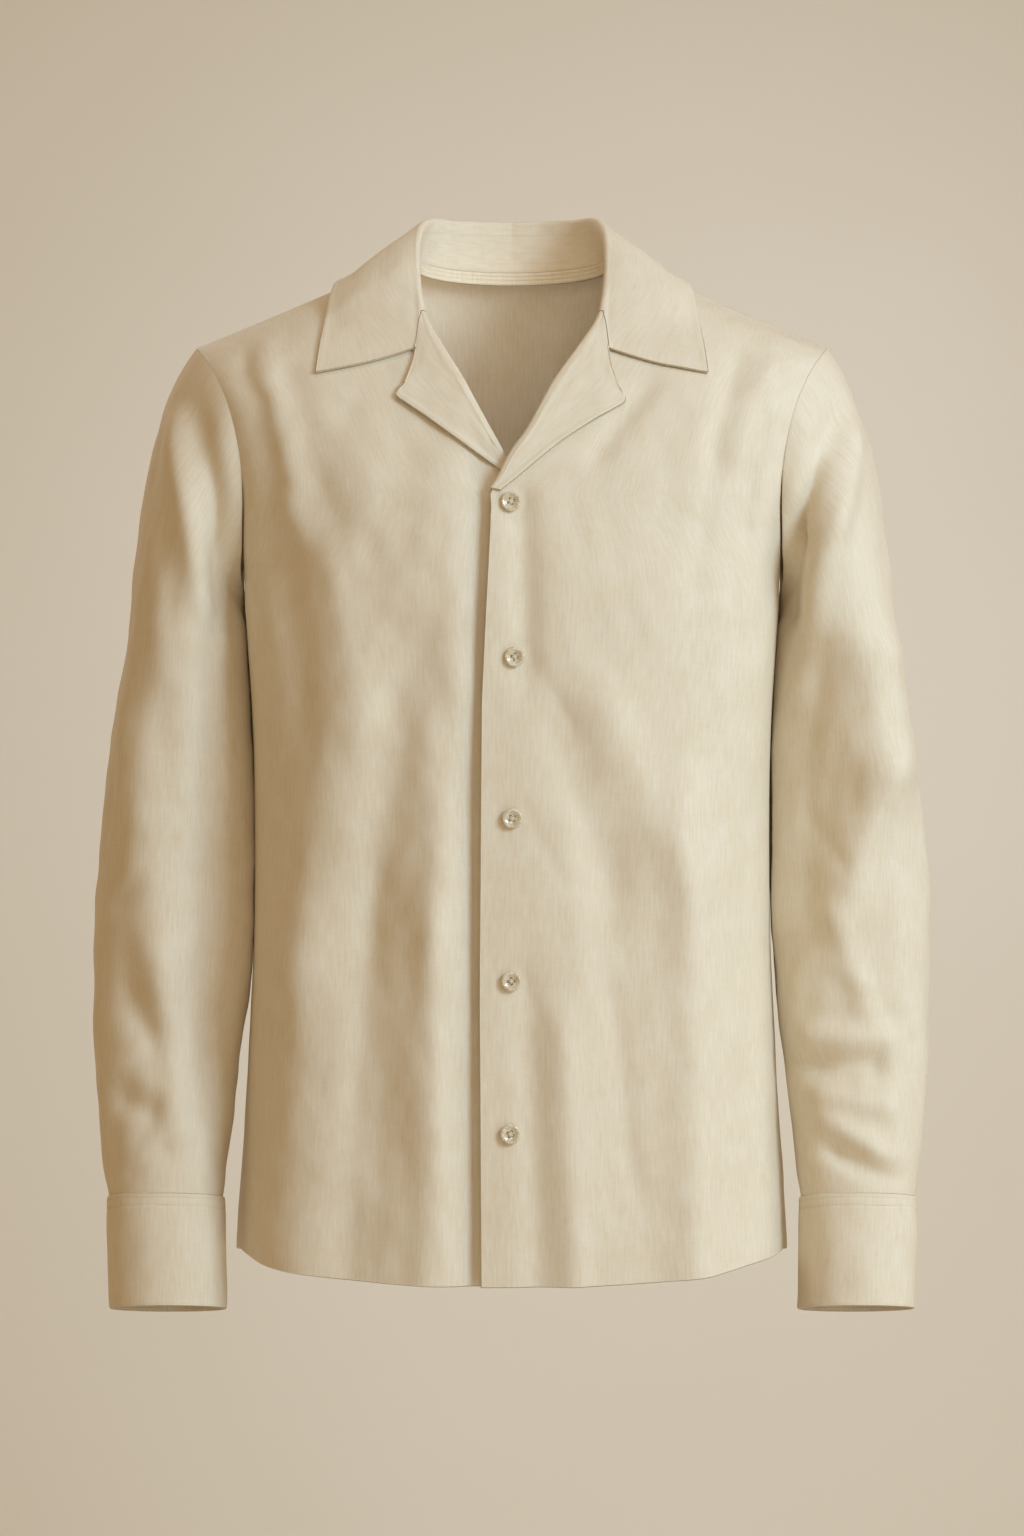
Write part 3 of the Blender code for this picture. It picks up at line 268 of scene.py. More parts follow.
# Smaller creases between the main folds, with the sign and places that the cloth shows.
CREASES = {
    "front_left": [
        Fold(18, -292, 40, -330, 6, -1.4), Fold(14, -404, 34, -440, 6, -1.5),
        Fold(12, -518, 28, -560, 6, -1.2), Fold(20, -280, 60, -262, 7, -0.9),
        Fold(16, -392, 52, -372, 7, -0.9), Fold(140, -160, 128, -235, 8, -1.3),
        Fold(176, -150, 166, -250, 7, 1.4), Fold(118, -420, 138, -520, 9, 1.3),
        Fold(70, -520, 84, -640, 8, -1.3), Fold(150, -600, 146, -700, 9, -1.4),
    ],
    "front_right": [
        Fold(176, -105, 164, -160, 7, -1.6), Fold(190, -210, 180, -300, 8, 1.5),
        Fold(120, -200, 108, -290, 10, -1.2), Fold(96, -430, 108, -560, 9, -1.3),
        Fold(158, -450, 164, -600, 9, -1.3), Fold(52, -560, 48, -700, 7, 1.2),
        Fold(60, -210, 72, -300, 10, 1.0), Fold(100, -600, 104, -715, 8, 1.3),
    ],
    "back": [
        Fold(-40, -180, -48, -330, 10, 1.5), Fold(30, -160, 36, -300, 10, 1.4),
        Fold(88, -480, 84, -690, 9, 1.5), Fold(-140, -420, -146, -640, 9, -1.5),
        Fold(150, -420, 146, -660, 9, 1.5), Fold(-52, -560, -50, -716, 8, 1.4),
    ],
    "sleeve_left": [
        Fold(228, -150, 214, -190, 6, 1.5), Fold(216, -400, 232, -428, 6, -1.4),
        Fold(250, -585, 272, -592, 6, 1.5), Fold(226, -635, 246, -652, 5, -1.3),
        Fold(270, -540, 284, -556, 7, -1.4), Fold(228, -500, 250, -516, 6, 1.3),
    ],
    "sleeve_right": [
        Fold(250, -180, 240, -260, 8, -1.4), Fold(264, -560, 284, -572, 6, 1.5),
        Fold(232, -612, 262, -622, 6, -1.4), Fold(246, -632, 268, -648, 5, -1.3),
        Fold(224, -500, 236, -548, 7, -1.4), Fold(258, -430, 276, -458, 7, -1.2),
    ],
    "sleeve_back": [
        Fold(232, -420, 262, -438, 6, 1.4), Fold(238, -520, 264, -530, 6, -1.4),
        Fold(232, -600, 250, -612, 6, 1.3),
    ],
}


# ---------------------------------------------------------------- small mathematics
def smooth_table(values: Array, where: Array) -> Array:
    """Catmull-Rom curve through values at 0, 1, 2 ..., along the first axis.

    Args:
        values: the curve's points, one a row, or plain numbers.
        where: the places to read it at.

    Returns:
        b + f/2 (c - a + f (2a - 5b + 4c - d + f (3(b - c) + d - a))) for four neighbours.
    """
    values = np.asarray(values, dtype=float)
    padded = np.concatenate([2 * values[:1] - values[1:2], values, 2 * values[-1:] - values[-2:-1]])
    first = np.clip(np.floor(where).astype(int), 0, len(values) - 2)
    f = (np.asarray(where, dtype=float) - first).reshape((-1,) + (1,) * (values.ndim - 1))
    a, b, c, d = (padded[first + k] for k in range(4))
    return b + 0.5 * f * (c - a + f * (2 * a - 5 * b + 4 * c - d + f * (3 * (b - c) + d - a)))


def resample(grid: Array, rows: Array, columns: Array, closed: bool = False) -> Array:
    """A grid read at other rows and columns, counted in its own, by Catmull-Rom curves."""
    if closed:
        grid = np.concatenate([grid[:, -2:], grid, grid[:, :3]], axis=1)
        columns = columns + 2
    across = smooth_table(grid, rows)
    return np.swapaxes(smooth_table(np.swapaxes(across, 0, 1), columns), 0, 1)


def smooth_step(value: Array) -> Array:
    """0 below 0, 1 above 1 and an S curve between: t t (3 - 2 t)."""
    value = np.clip(value, 0.0, 1.0)
    return value * value * (3.0 - 2.0 * value)


def unit(vectors: Array) -> Array:
    """Vectors brought to length 1."""
    return vectors / np.maximum(np.linalg.norm(vectors, axis=-1, keepdims=True), 1e-9)


def square_to(vectors: Array, along: Array) -> Array:
    """Unit vectors: what is left of vectors square to the unit vectors along."""
    return unit(vectors - (vectors * along).sum(axis=-1, keepdims=True) * along)


def mirror(points: Array) -> Array:
    """The wearer's other side."""
    return points * np.array([-1.0, 1.0, 1.0])


def heading(turn: Array) -> Array:
    """Unit vectors in plan: 0 degrees is outward (+X), 90 is back (+Y)."""
    angle = np.radians(turn)
    return np.stack([np.cos(angle), np.sin(angle), 0.0 * angle], axis=-1)


def table_column(rows: list, *names: str) -> Array:
    """Named columns of a table: one column gives numbers, more give points."""
    columns = [np.array([getattr(row, name) for row in rows], dtype=float) for name in names]
    return columns[0] if len(columns) == 1 else np.stack(columns, axis=1)


def finer(count: int, times: int) -> Array:
    """Places 0 .. count - 1 with times steps in each interval."""
    return np.arange((count - 1) * times + 1) / times


def run_length(line: Array) -> Array:
    """Distance of each point of a line from its first, along the line."""
    return np.concatenate([[0.0], np.cumsum(np.linalg.norm(np.diff(line, axis=0), axis=1))])


def read_line(values: Array, run: Array, where: Array) -> Array:
    """A line's points, or what goes with them, at distances along it by straight steps."""
    return np.stack([np.interp(where, run, values[:, axis]) for axis in range(3)], axis=1)


def even_out(rows: Array, count: int) -> Array:
    """Each row of points again, count points at equal steps along it."""
    runs = [run_length(row) for row in rows]
    return np.stack([read_line(row, run, np.linspace(0, run[-1], count)) for row, run in zip(rows, runs)])


def from_last(grid: Array) -> Array:
    """Distance of each point from the last of its row, along the row."""
    steps = np.linalg.norm(np.diff(grid[:, ::-1], axis=1), axis=2)
    return np.concatenate([np.zeros((len(grid), 1)), np.cumsum(steps, axis=1)], axis=1)[:, ::-1]


def grid_normals(grid: Array, closed: bool = False) -> Array:
    """Normals of a grid of points: the cross product of its two directions."""
    if closed:
        across = np.roll(grid, -1, axis=1) - np.roll(grid, 1, axis=1)
    else:
        across = np.gradient(grid, axis=1)
    return unit(np.cross(across, np.gradient(grid, axis=0)))


def fold_field(points: Array, folds: list[Fold]) -> Array:
    """Sum over the folds of height x exp(-(aside / half width)^2 - (1.6 past / fade)^2).

    Args:
        points: where to read it; only x and z count.
        folds: the folds, each a line with a half width and a height.

    Returns:
        The height at each point, in millimetres.
    """
    x, z = points[..., 0], points[..., 2]
    total = np.zeros(x.shape)
    for fold in folds:
        dx, dz = fold.x1 - fold.x0, fold.z1 - fold.z0
        length = math.hypot(dx, dz)
        along = ((x - fold.x0) * dx + (z - fold.z0) * dz) / length
        aside = ((x - fold.x0) * dz - (z - fold.z0) * dx) / length
        past = np.maximum(np.maximum(-along, along - length), 0.0) / (fold.half_width + 0.22 * length)
        total += fold.height * np.exp(-(aside / fold.half_width) ** 2 - (1.6 * past) ** 2)
    return total


def height_over(points: Array, below: Array, normals: Array, reach: float) -> tuple[Array, Array, Array]:
    """Height over a surface given by samples, the way up there, and the nearest distance.

    The height is the mean of the heights over the samples' tangent planes, weighted by
    exp(-(distance squared) / (reach squared)).
    """
    flat_points = points.reshape(-1, 3)
    samples, directions = below.reshape(-1, 3), normals.reshape(-1, 3)
    heights, nearest = np.empty(len(flat_points)), np.empty(len(flat_points))
    ways = np.empty_like(flat_points)
    for start in range(0, len(flat_points), 256):
        apart = flat_points[start:start + 256, None, :] - samples[None, :, :]
        square = (apart ** 2).sum(axis=2)
        closest = square.min(axis=1, keepdims=True)
        weight = np.exp(-(square - closest) / reach ** 2)
        weight /= weight.sum(axis=1, keepdims=True)
        heights[start:start + 256] = (weight * (apart * directions[None]).sum(axis=2)).sum(axis=1)
        ways[start:start + 256] = unit(weight @ directions)
        nearest[start:start + 256] = np.sqrt(closest[:, 0])
    shape = points.shape[:-1]
    return heights.reshape(shape), ways.reshape(points.shape), nearest.reshape(shape)


def denser(grid: Array, times: int = 3) -> Array:
    """A grid with straight-line points added between its own, times as many each way."""
    for axis in (0, 1):
        count = grid.shape[axis]
        want = np.linspace(0, count - 1, (count - 1) * times + 1)
        low = np.minimum(want.astype(int), count - 2)
        share = (want - low).reshape((-1, 1, 1) if axis == 0 else (1, -1, 1))
        grid = np.take(grid, low, axis) * (1 - share) + np.take(grid, low + 1, axis) * share
    return grid


def lay_over(points: Array, below: Array, normals: Array, clear: Array | float,
             near: float = 12.0, far: float = 36.0) -> Array:
    """Points moved out along the panel below until they clear it.

    Args:
        points: the piece that lies on the panel.
        below: the panel's points.
        normals: its normals; turned round, they lay the points under the panel.
        clear: the least height over the panel's middle surface.
        near: up to this distance from the panel the push is whole.
        far: beyond this distance there is none.

    Returns:
        The moved points.
    """
    moved = points.copy()
    below, normals = denser(below), unit(denser(normals))
    for _ in range(3):
        height, way, distance = height_over(moved, below, normals, SAMPLE_REACH)
        short = np.maximum(clear - height, 0.0) * smooth_step((far - distance) / (far - near))
        moved += short[..., None] * way
    return moved


def surface_depth(x: Array, z: Array, grid: Array, normals: Array) -> Array:
    """Depth y of a front at (x, z): its tangent planes weighted by nearness in that view."""
    usable = normals[..., 1] < -0.25
    samples, ways = grid[usable], normals[usable]
    dx, dz = x[..., None] - samples[:, 0], z[..., None] - samples[:, 2]
    square = dx ** 2 + dz ** 2
    weight = np.exp(-(square - square.min(axis=-1, keepdims=True)) / SAMPLE_REACH ** 2)
    planes = samples[:, 1] - (ways[:, 0] * dx + ways[:, 2] * dz) / ways[:, 1]
    return (weight * planes).sum(axis=-1) / weight.sum(axis=-1)


def unevenness(points: Array, size: Waves, number: int = 0, waves: int = 40) -> Array:
    """Soft unevenness of handled cloth: a sum of plane waves with seeded directions.

    Args:
        points: where to read it, in millimetres.
        size: its height, seed and wavelengths; the same seed gives the same cloth.
        number: added to the seed, so that pieces of a kind differ.
        waves: how many waves are summed.

    Returns:
        height x sum of cos(k . p + phase) / sqrt(waves / 2), about -height .. height.
    """
    dice = np.random.default_rng(size.seed + number)
    ways = unit(dice.normal(size=(waves, 3)) * np.array([1.0, 1.0, 0.45]))
    lengths = np.exp(dice.uniform(math.log(size.shortest), math.log(size.longest), waves))
    phase = dice.uniform(0, 2 * math.pi, waves)
    turns = points.reshape(-1, 3) @ (ways * (2 * math.pi / lengths)[:, None]).T + phase
    return size.height * (np.cos(turns).sum(axis=1) / math.sqrt(waves / 2)).reshape(points.shape[:-1])


# ---------------------------------------------------------------- materials
def linear(hex_colour: str) -> tuple[float, float, float, float]:
    """An sRGB colour such as "e2d8c0" as linear rgba."""
    parts = (int(hex_colour[k:k + 2], 16) / 255 for k in (0, 2, 4))
    return tuple(c / 12.92 if c <= 0.04045 else ((c + 0.055) / 1.055) ** 2.4 for c in parts) + (1.0,)


def new_material(name: str, values: dict
                 ) -> tuple[bpy.types.Material, bpy.types.NodeTree, bpy.types.NodeInputs]:
    """A material with values set on its shader, its node tree and its shader's inputs."""
    made = bpy.data.materials.new(name)
    made.use_nodes = True
    inputs = made.node_tree.nodes["Principled BSDF"].inputs
    for socket, value in values.items():
        inputs[socket].default_value = value
    return made, made.node_tree, inputs


def add_node(tree: bpy.types.NodeTree, kind: str, settings: dict | None = None,
             inputs: dict | None = None, onto: dict | None = None) -> bpy.types.Node:
    """Adds a node; an input that is a socket is linked, and any other value is set.

    Args:
        tree: the material's node tree.
        kind: the node's type name.
        settings: the node's own properties.
        inputs: input name or number to a value or an output socket.
        onto: output name to the input socket that it feeds.

    Returns:
        The node.
    """
    node = tree.nodes.new(kind)
    for name, value in (settings or {}).items():
        setattr(node, name, value)
    for name, value in (inputs or {}).items():
        if isinstance(value, bpy.types.NodeSocket):
            tree.links.new(value, node.inputs[name])
        else:
            node.inputs[name].default_value = value
    for name, socket in (onto or {}).items():
        tree.links.new(node.outputs[name], socket)
    return node


@dataclass(frozen=True)
class WovenCloth:
    """Plain-woven cotton and linen: matt, a little hairy, with slubs along both threads.

    Threads this fine (0.3 mm) would not show from a step away, so they are drawn at
    thread_mm; slub_mm is how wide a thick stretch of thread looks.
    """

    name: str = "woven_cotton_linen"
    light: str = "e6dcc8"
    dark: str = "dccdb2"
    thread_mm: float = 1.1
    slub_mm: float = 1.6
    mottle_mm: float = 26.0
    roughness: float = 0.82
    bump: float = 0.22

    def material(self) -> bpy.types.Material:
        """The cloth's material on the weave map, whose u and v are metres of cloth."""
        made, tree, shader = new_material(self.name, {
            "Roughness": self.roughness, "Sheen Weight": 0.28, "Sheen Roughness": 0.45,
            "Sheen Tint": linear("fff3dc"), "Specular IOR Level": 0.28})
        cloth = add_node(tree, "ShaderNodeUVMap", {"uv_map": "weave"}).outputs["UV"]
        mottle = add_node(tree, "ShaderNodeTexNoise", {"noise_dimensions": "2D"},
                          {"Vector": cloth, "Scale": 1 / (self.mottle_mm * MM), "Detail": 3.0, "Roughness": 0.55})
        parts = {"warp": self.slubs(tree, cloth, (1.0, 0.09)), "weft": self.slubs(tree, cloth, (0.2, 1.0)),
                 "mottle": mottle.outputs["Fac"], "threads": self.threads(tree, cloth)}
        # each is first x (1 - share) + second x share
        for name, first, second, share in (("woven", "warp", "weft", 0.22), ("tone", "woven", "mottle", 0.30),
                                           ("ridges", "warp", "weft", 0.3), ("relief", "ridges", "threads", 0.4)):
            parts[name] = add_node(tree, "ShaderNodeMix", {"data_type": "FLOAT"},
                                   {"Factor": share, "A": parts[first], "B": parts[second]}).outputs["Result"]
        ramp = add_node(tree, "ShaderNodeMapRange", None,
                        {"Value": parts["tone"], "From Min": 0.30, "From Max": 0.70})
        add_node(tree, "ShaderNodeMix", {"data_type": "RGBA"},
                 {"Factor": ramp.outputs["Result"], "A": linear(self.dark), "B": linear(self.light)},
                 {"Result": shader["Base Color"]})
        add_node(tree, "ShaderNodeBump", None,
                 {"Height": parts["relief"], "Strength": self.bump, "Distance": 0.5 * MM},
                 {"Normal": shader["Normal"]})
        return made

    def slubs(self, tree: bpy.types.NodeTree, cloth: bpy.types.NodeSocket,
              stretch: tuple[float, float]) -> bpy.types.NodeSocket:
        """Noise drawn out along one thread direction, slub_mm wide across it."""
        scaled = add_node(tree, "ShaderNodeMapping", {"vector_type": "POINT"},
                          {"Vector": cloth, "Scale": (stretch[0], stretch[1], 1.0)})
        noise = add_node(tree, "ShaderNodeTexNoise", {"noise_dimensions": "2D"},
                         {"Vector": scaled.outputs["Vector"], "Scale": 1 / (self.slub_mm * MM),
                          "Detail": 2.0, "Roughness": 0.6})
        return noise.outputs["Fac"]

    def threads(self, tree: bpy.types.NodeTree, cloth: bpy.types.NodeSocket) -> bpy.types.NodeSocket:
        """Over-and-under of a plain weave: 0.5 + 0.5 sin(2 pi u / p) sin(2 pi v / p)."""
        parts = add_node(tree, "ShaderNodeSeparateXYZ", None, {"Vector": cloth})
        waves = []
        for axis in ("X", "Y"):
            turn = add_node(tree, "ShaderNodeMath", {"operation": "MULTIPLY"},
                            {0: parts.outputs[axis], 1: 2 * math.pi / (self.thread_mm * MM)})
            waves.append(add_node(tree, "ShaderNodeMath", {"operation": "SINE"}, {0: turn.outputs[0]}))
        both = add_node(tree, "ShaderNodeMath", {"operation": "MULTIPLY"},
                        {0: waves[0].outputs[0], 1: waves[1].outputs[0]})
        return add_node(tree, "ShaderNodeMath", {"operation": "MULTIPLY_ADD"},
                        {0: both.outputs[0], 1: 0.5, 2: 0.5}).outputs[0]


@dataclass(frozen=True)
class SewingThread:
    """Spun polyester thread in the cloth's colour: a little smoother than it."""

    name: str = "spun_thread"
    colour: str = "e6dcc4"
    shade: str = "d6c9ab"

    def material(self) -> bpy.types.Material:
        """A plain thread colour with a twist in its bump, whose bands are 0.9 mm apart."""
        made, tree, shader = new_material(self.name, {"Roughness": 0.6, "Sheen Weight": 0.2})
        place = add_node(tree, "ShaderNodeTexCoord").outputs["Object"]
        noise = add_node(tree, "ShaderNodeTexNoise", None,
                         {"Vector": place, "Scale": 1 / (0.8 * MM), "Detail": 1.0})
        add_node(tree, "ShaderNodeMix", {"data_type": "RGBA"},
                 {"Factor": noise.outputs["Fac"], "A": linear(self.shade), "B": linear(self.colour)},
                 {"Result": shader["Base Color"]})
        twist = add_node(tree, "ShaderNodeTexWave", {"bands_direction": "DIAGONAL"},
                         {"Vector": place, "Scale": 1 / (2.5 * MM)})
        add_node(tree, "ShaderNodeBump", None,
                 {"Height": twist.outputs["Fac"], "Strength": 0.3, "Distance": 0.1 * MM},
                 {"Normal": shader["Normal"]})
        return made


@dataclass(frozen=True)
class CastResin:
    """Cast polyester button resin, polished: horn-like, a little see-through, glossy."""

    name: str = "cast_resin"
    pale: str = "ece2cc"
    deep: str = "d0bd98"

    def material(self) -> bpy.types.Material:
        """Cloudy veins about 3 mm wide under a clear polish, which the coat stands for."""
        made, tree, shader = new_material(self.name, {
            "Roughness": 0.16, "IOR": 1.54, "Coat Weight": 0.6, "Coat Roughness": 0.06,
            "Transmission Weight": 0.12})
        place = add_node(tree, "ShaderNodeTexCoord").outputs["Object"]
        veins = add_node(tree, "ShaderNodeTexNoise", None,
                         {"Vector": place, "Scale": 1 / (3.0 * MM), "Detail": 2.0, "Distortion": 1.2})
        spread = add_node(tree, "ShaderNodeMapRange", None,
                          {"Value": veins.outputs["Fac"], "From Min": 0.35, "From Max": 0.68})
        add_node(tree, "ShaderNodeMix", {"data_type": "RGBA"},
                 {"Factor": spread.outputs["Result"], "A": linear(self.deep), "B": linear(self.pale)},
                 {"Result": shader["Base Color"]})
        return made


# ---------------------------------------------------------------- mesh making
class Strip(NamedTuple):
    """Quads with the cloth map of each corner."""

    quads: Array
    uv: Array


def weave_map(grid: Array, closed: bool) -> tuple[Array, Array]:
    """Metres of cloth along the columns and along the rows: mean steps, summed."""
    wide = np.concatenate([grid, grid[:, :1]], axis=1) if closed else grid
    across = np.linalg.norm(np.diff(wide, axis=1), axis=2).mean(axis=0)
    along = np.linalg.norm(np.diff(grid, axis=0), axis=2).mean(axis=1)
    return (np.concatenate([[0.0], np.cumsum(across)]) * MM, np.concatenate([[0.0], np.cumsum(along)]) * MM)


def grid_strip(rows: int, count: int, closed: bool, u: Array, v: Array, start: int) -> Strip:
    """The quads of a grid of points, from the point number start."""
    r, c = (item.ravel() for item in np.meshgrid(
        np.arange(rows - 1), np.arange(count if closed else count - 1), indexing="ij"))
    right = (c + 1) % count
    quads = np.stack([r * count + c, r * count + right, (r + 1) * count + right, (r + 1) * count + c], axis=1)
    uv = np.stack([np.stack([u[c], u[c + 1], u[c + 1], u[c]], axis=1),
                   np.stack([v[r], v[r], v[r + 1], v[r + 1]], axis=1)], axis=2)
    return Strip(start + quads, uv)


def rim_loops(rows: int, count: int, closed: bool) -> list[Array]:
    """Point numbers round each open edge of a grid: two rings of a tube, or one loop."""
    last = (rows - 1) * count
    if closed:
        return [np.arange(count), last + np.arange(count)[::-1]]
    top, bottom = np.arange(count), last + np.arange(count)[::-1]
    right, left = np.arange(1, rows - 1) * count + count - 1, np.arange(rows - 2, 0, -1) * count
    return [np.concatenate([top, right, bottom, left])]


def add_object(name: str, data: bpy.types.ID) -> bpy.types.Object:
    """A new object in the scene, at the origin and unturned."""
    made = bpy.data.objects.new(name, data)
    bpy.context.scene.collection.objects.link(made)
    return made


def quad_object(name: str, points: Array, strips: list[Strip], material: bpy.types.Material,
                slot: str) -> bpy.types.Object:
    """A smooth object of quads, turned round as a whole where its summed volume is negative.

    Known fault: a shell's rim winds against its surfaces, and the sum is then misled, so the
    fronts, back and lapels come out with their surfaces facing inward.

    Args:
        name: the piece's name.
        points: its points in millimetres.
        strips: its quads, with their cloth map.
        material: its material.
        slot: not used.

    Returns:
        The object, riding on the root body.
    """
    quads = np.concatenate([strip.quads for strip in strips])
    uv = np.concatenate([strip.uv for strip in strips])
    a, b, c, d = (points[quads[:, k]] for k in range(4))
    volume = (np.cross(b - a, c - a) * a).sum() + (np.cross(c - a, d - a) * a).sum()
    if volume < 0:
        quads, uv = quads[:, ::-1], uv[:, ::-1]
    mesh = bpy.data.meshes.new(name)
    mesh.from_pydata((points * MM).tolist(), [], quads.tolist())
    mesh.uv_layers.new(name="weave").data.foreach_set("uv", uv.reshape(-1))
    mesh.shade_smooth()
    mesh.materials.append(material)
    piece = add_object(name, mesh)
    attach(piece, "root")
    LOG.info("%s: %d points, %d quads", name, len(points), len(quads))
    return piece


def tight_edges(values: Array, steps: tuple[float, float], closed: bool, guard: float = 0.35) -> Array:
    """A grid with one more row, and column, guard millimetres inside each open edge.

    The faces next to a turned edge are then as narrow as the turn, so its shading stays there.
    """
    for axis in (0,) if closed else (0, 1):
        last = values.shape[axis] - 1
        share = min(guard / steps[axis], 0.5)
        places = np.concatenate([[0.0, share], np.arange(1.0, last), [last - share, last]])
        low = np.minimum(places.astype(int), last - 1)
        part = (places - low).reshape((-1, 1, 1) if axis == 0 else (1, -1, 1))
        values = np.take(values, low, axis) * (1 - part) + np.take(values, low + 1, axis) * part
    return values


def shell(name: str, grid: Array, normals: Array, thick: Array | float,
          material: bpy.types.Material, closed: bool = False) -> bpy.types.Object:
    """Cloth as a closed shell: the grid moved out and in by half its thickness.

    Each open edge gets a middle loop that stands out by 0.4 of the thickness, so that it
    rounds like a turned edge.  Known fault: the two strips of this rim wind against the
    surfaces that they join.
    """
    steps = tuple(float(np.linalg.norm(np.diff(grid, axis=k), axis=2).mean()) for k in (0, 1))
    thick = np.broadcast_to(thick, grid.shape[:2])[..., None]
    grid, normals, thick = (tight_edges(item, steps, closed) for item in (grid, normals, thick))
    normals = unit(normals)
    rows, count = grid.shape[:2]
    outer = (grid + 0.5 * thick * normals).reshape(-1, 3)
    inner = (grid - 0.5 * thick * normals).reshape(-1, 3)
    size = rows * count
    u, v = weave_map(grid, closed)
    strips = [grid_strip(rows, count, closed, u, v, 0)]
    back = grid_strip(rows, count, closed, u, v, size)
    strips.append(Strip(back.quads[:, ::-1], back.uv[:, ::-1]))
    points = [outer, inner]
    start = 2 * size
    inward = np.zeros_like(grid)
    inward[0], inward[-1] = grid[1] - grid[0], grid[-2] - grid[-1]
    inward = unit(inward)
    if not closed:
        inward[:, 0] += unit(grid[:, 1] - grid[:, 0])
        inward[:, -1] += unit(grid[:, -2] - grid[:, -1])
    away = (-0.4 * thick * unit(inward)).reshape(-1, 3)
    for loop in rim_loops(rows, count, closed):
        points.append(grid.reshape(-1, 3)[loop] + away[loop])
        middle = start + np.arange(len(loop))
        start += len(loop)
        turn = np.roll(np.arange(len(loop)), -1)
        row_of, column_of = loop // count, loop % count
        place = np.stack([u[column_of], v[row_of]], axis=1)
        for one, two in ((size + loop, middle), (middle, loop)):
            quads = np.stack([one, one[turn], two[turn], two], axis=1)
            strips.append(Strip(quads[:, ::-1], np.stack([place, place[turn], place[turn], place], axis=1)))
    return quad_object(name, np.concatenate(points), strips, material, "cloth")


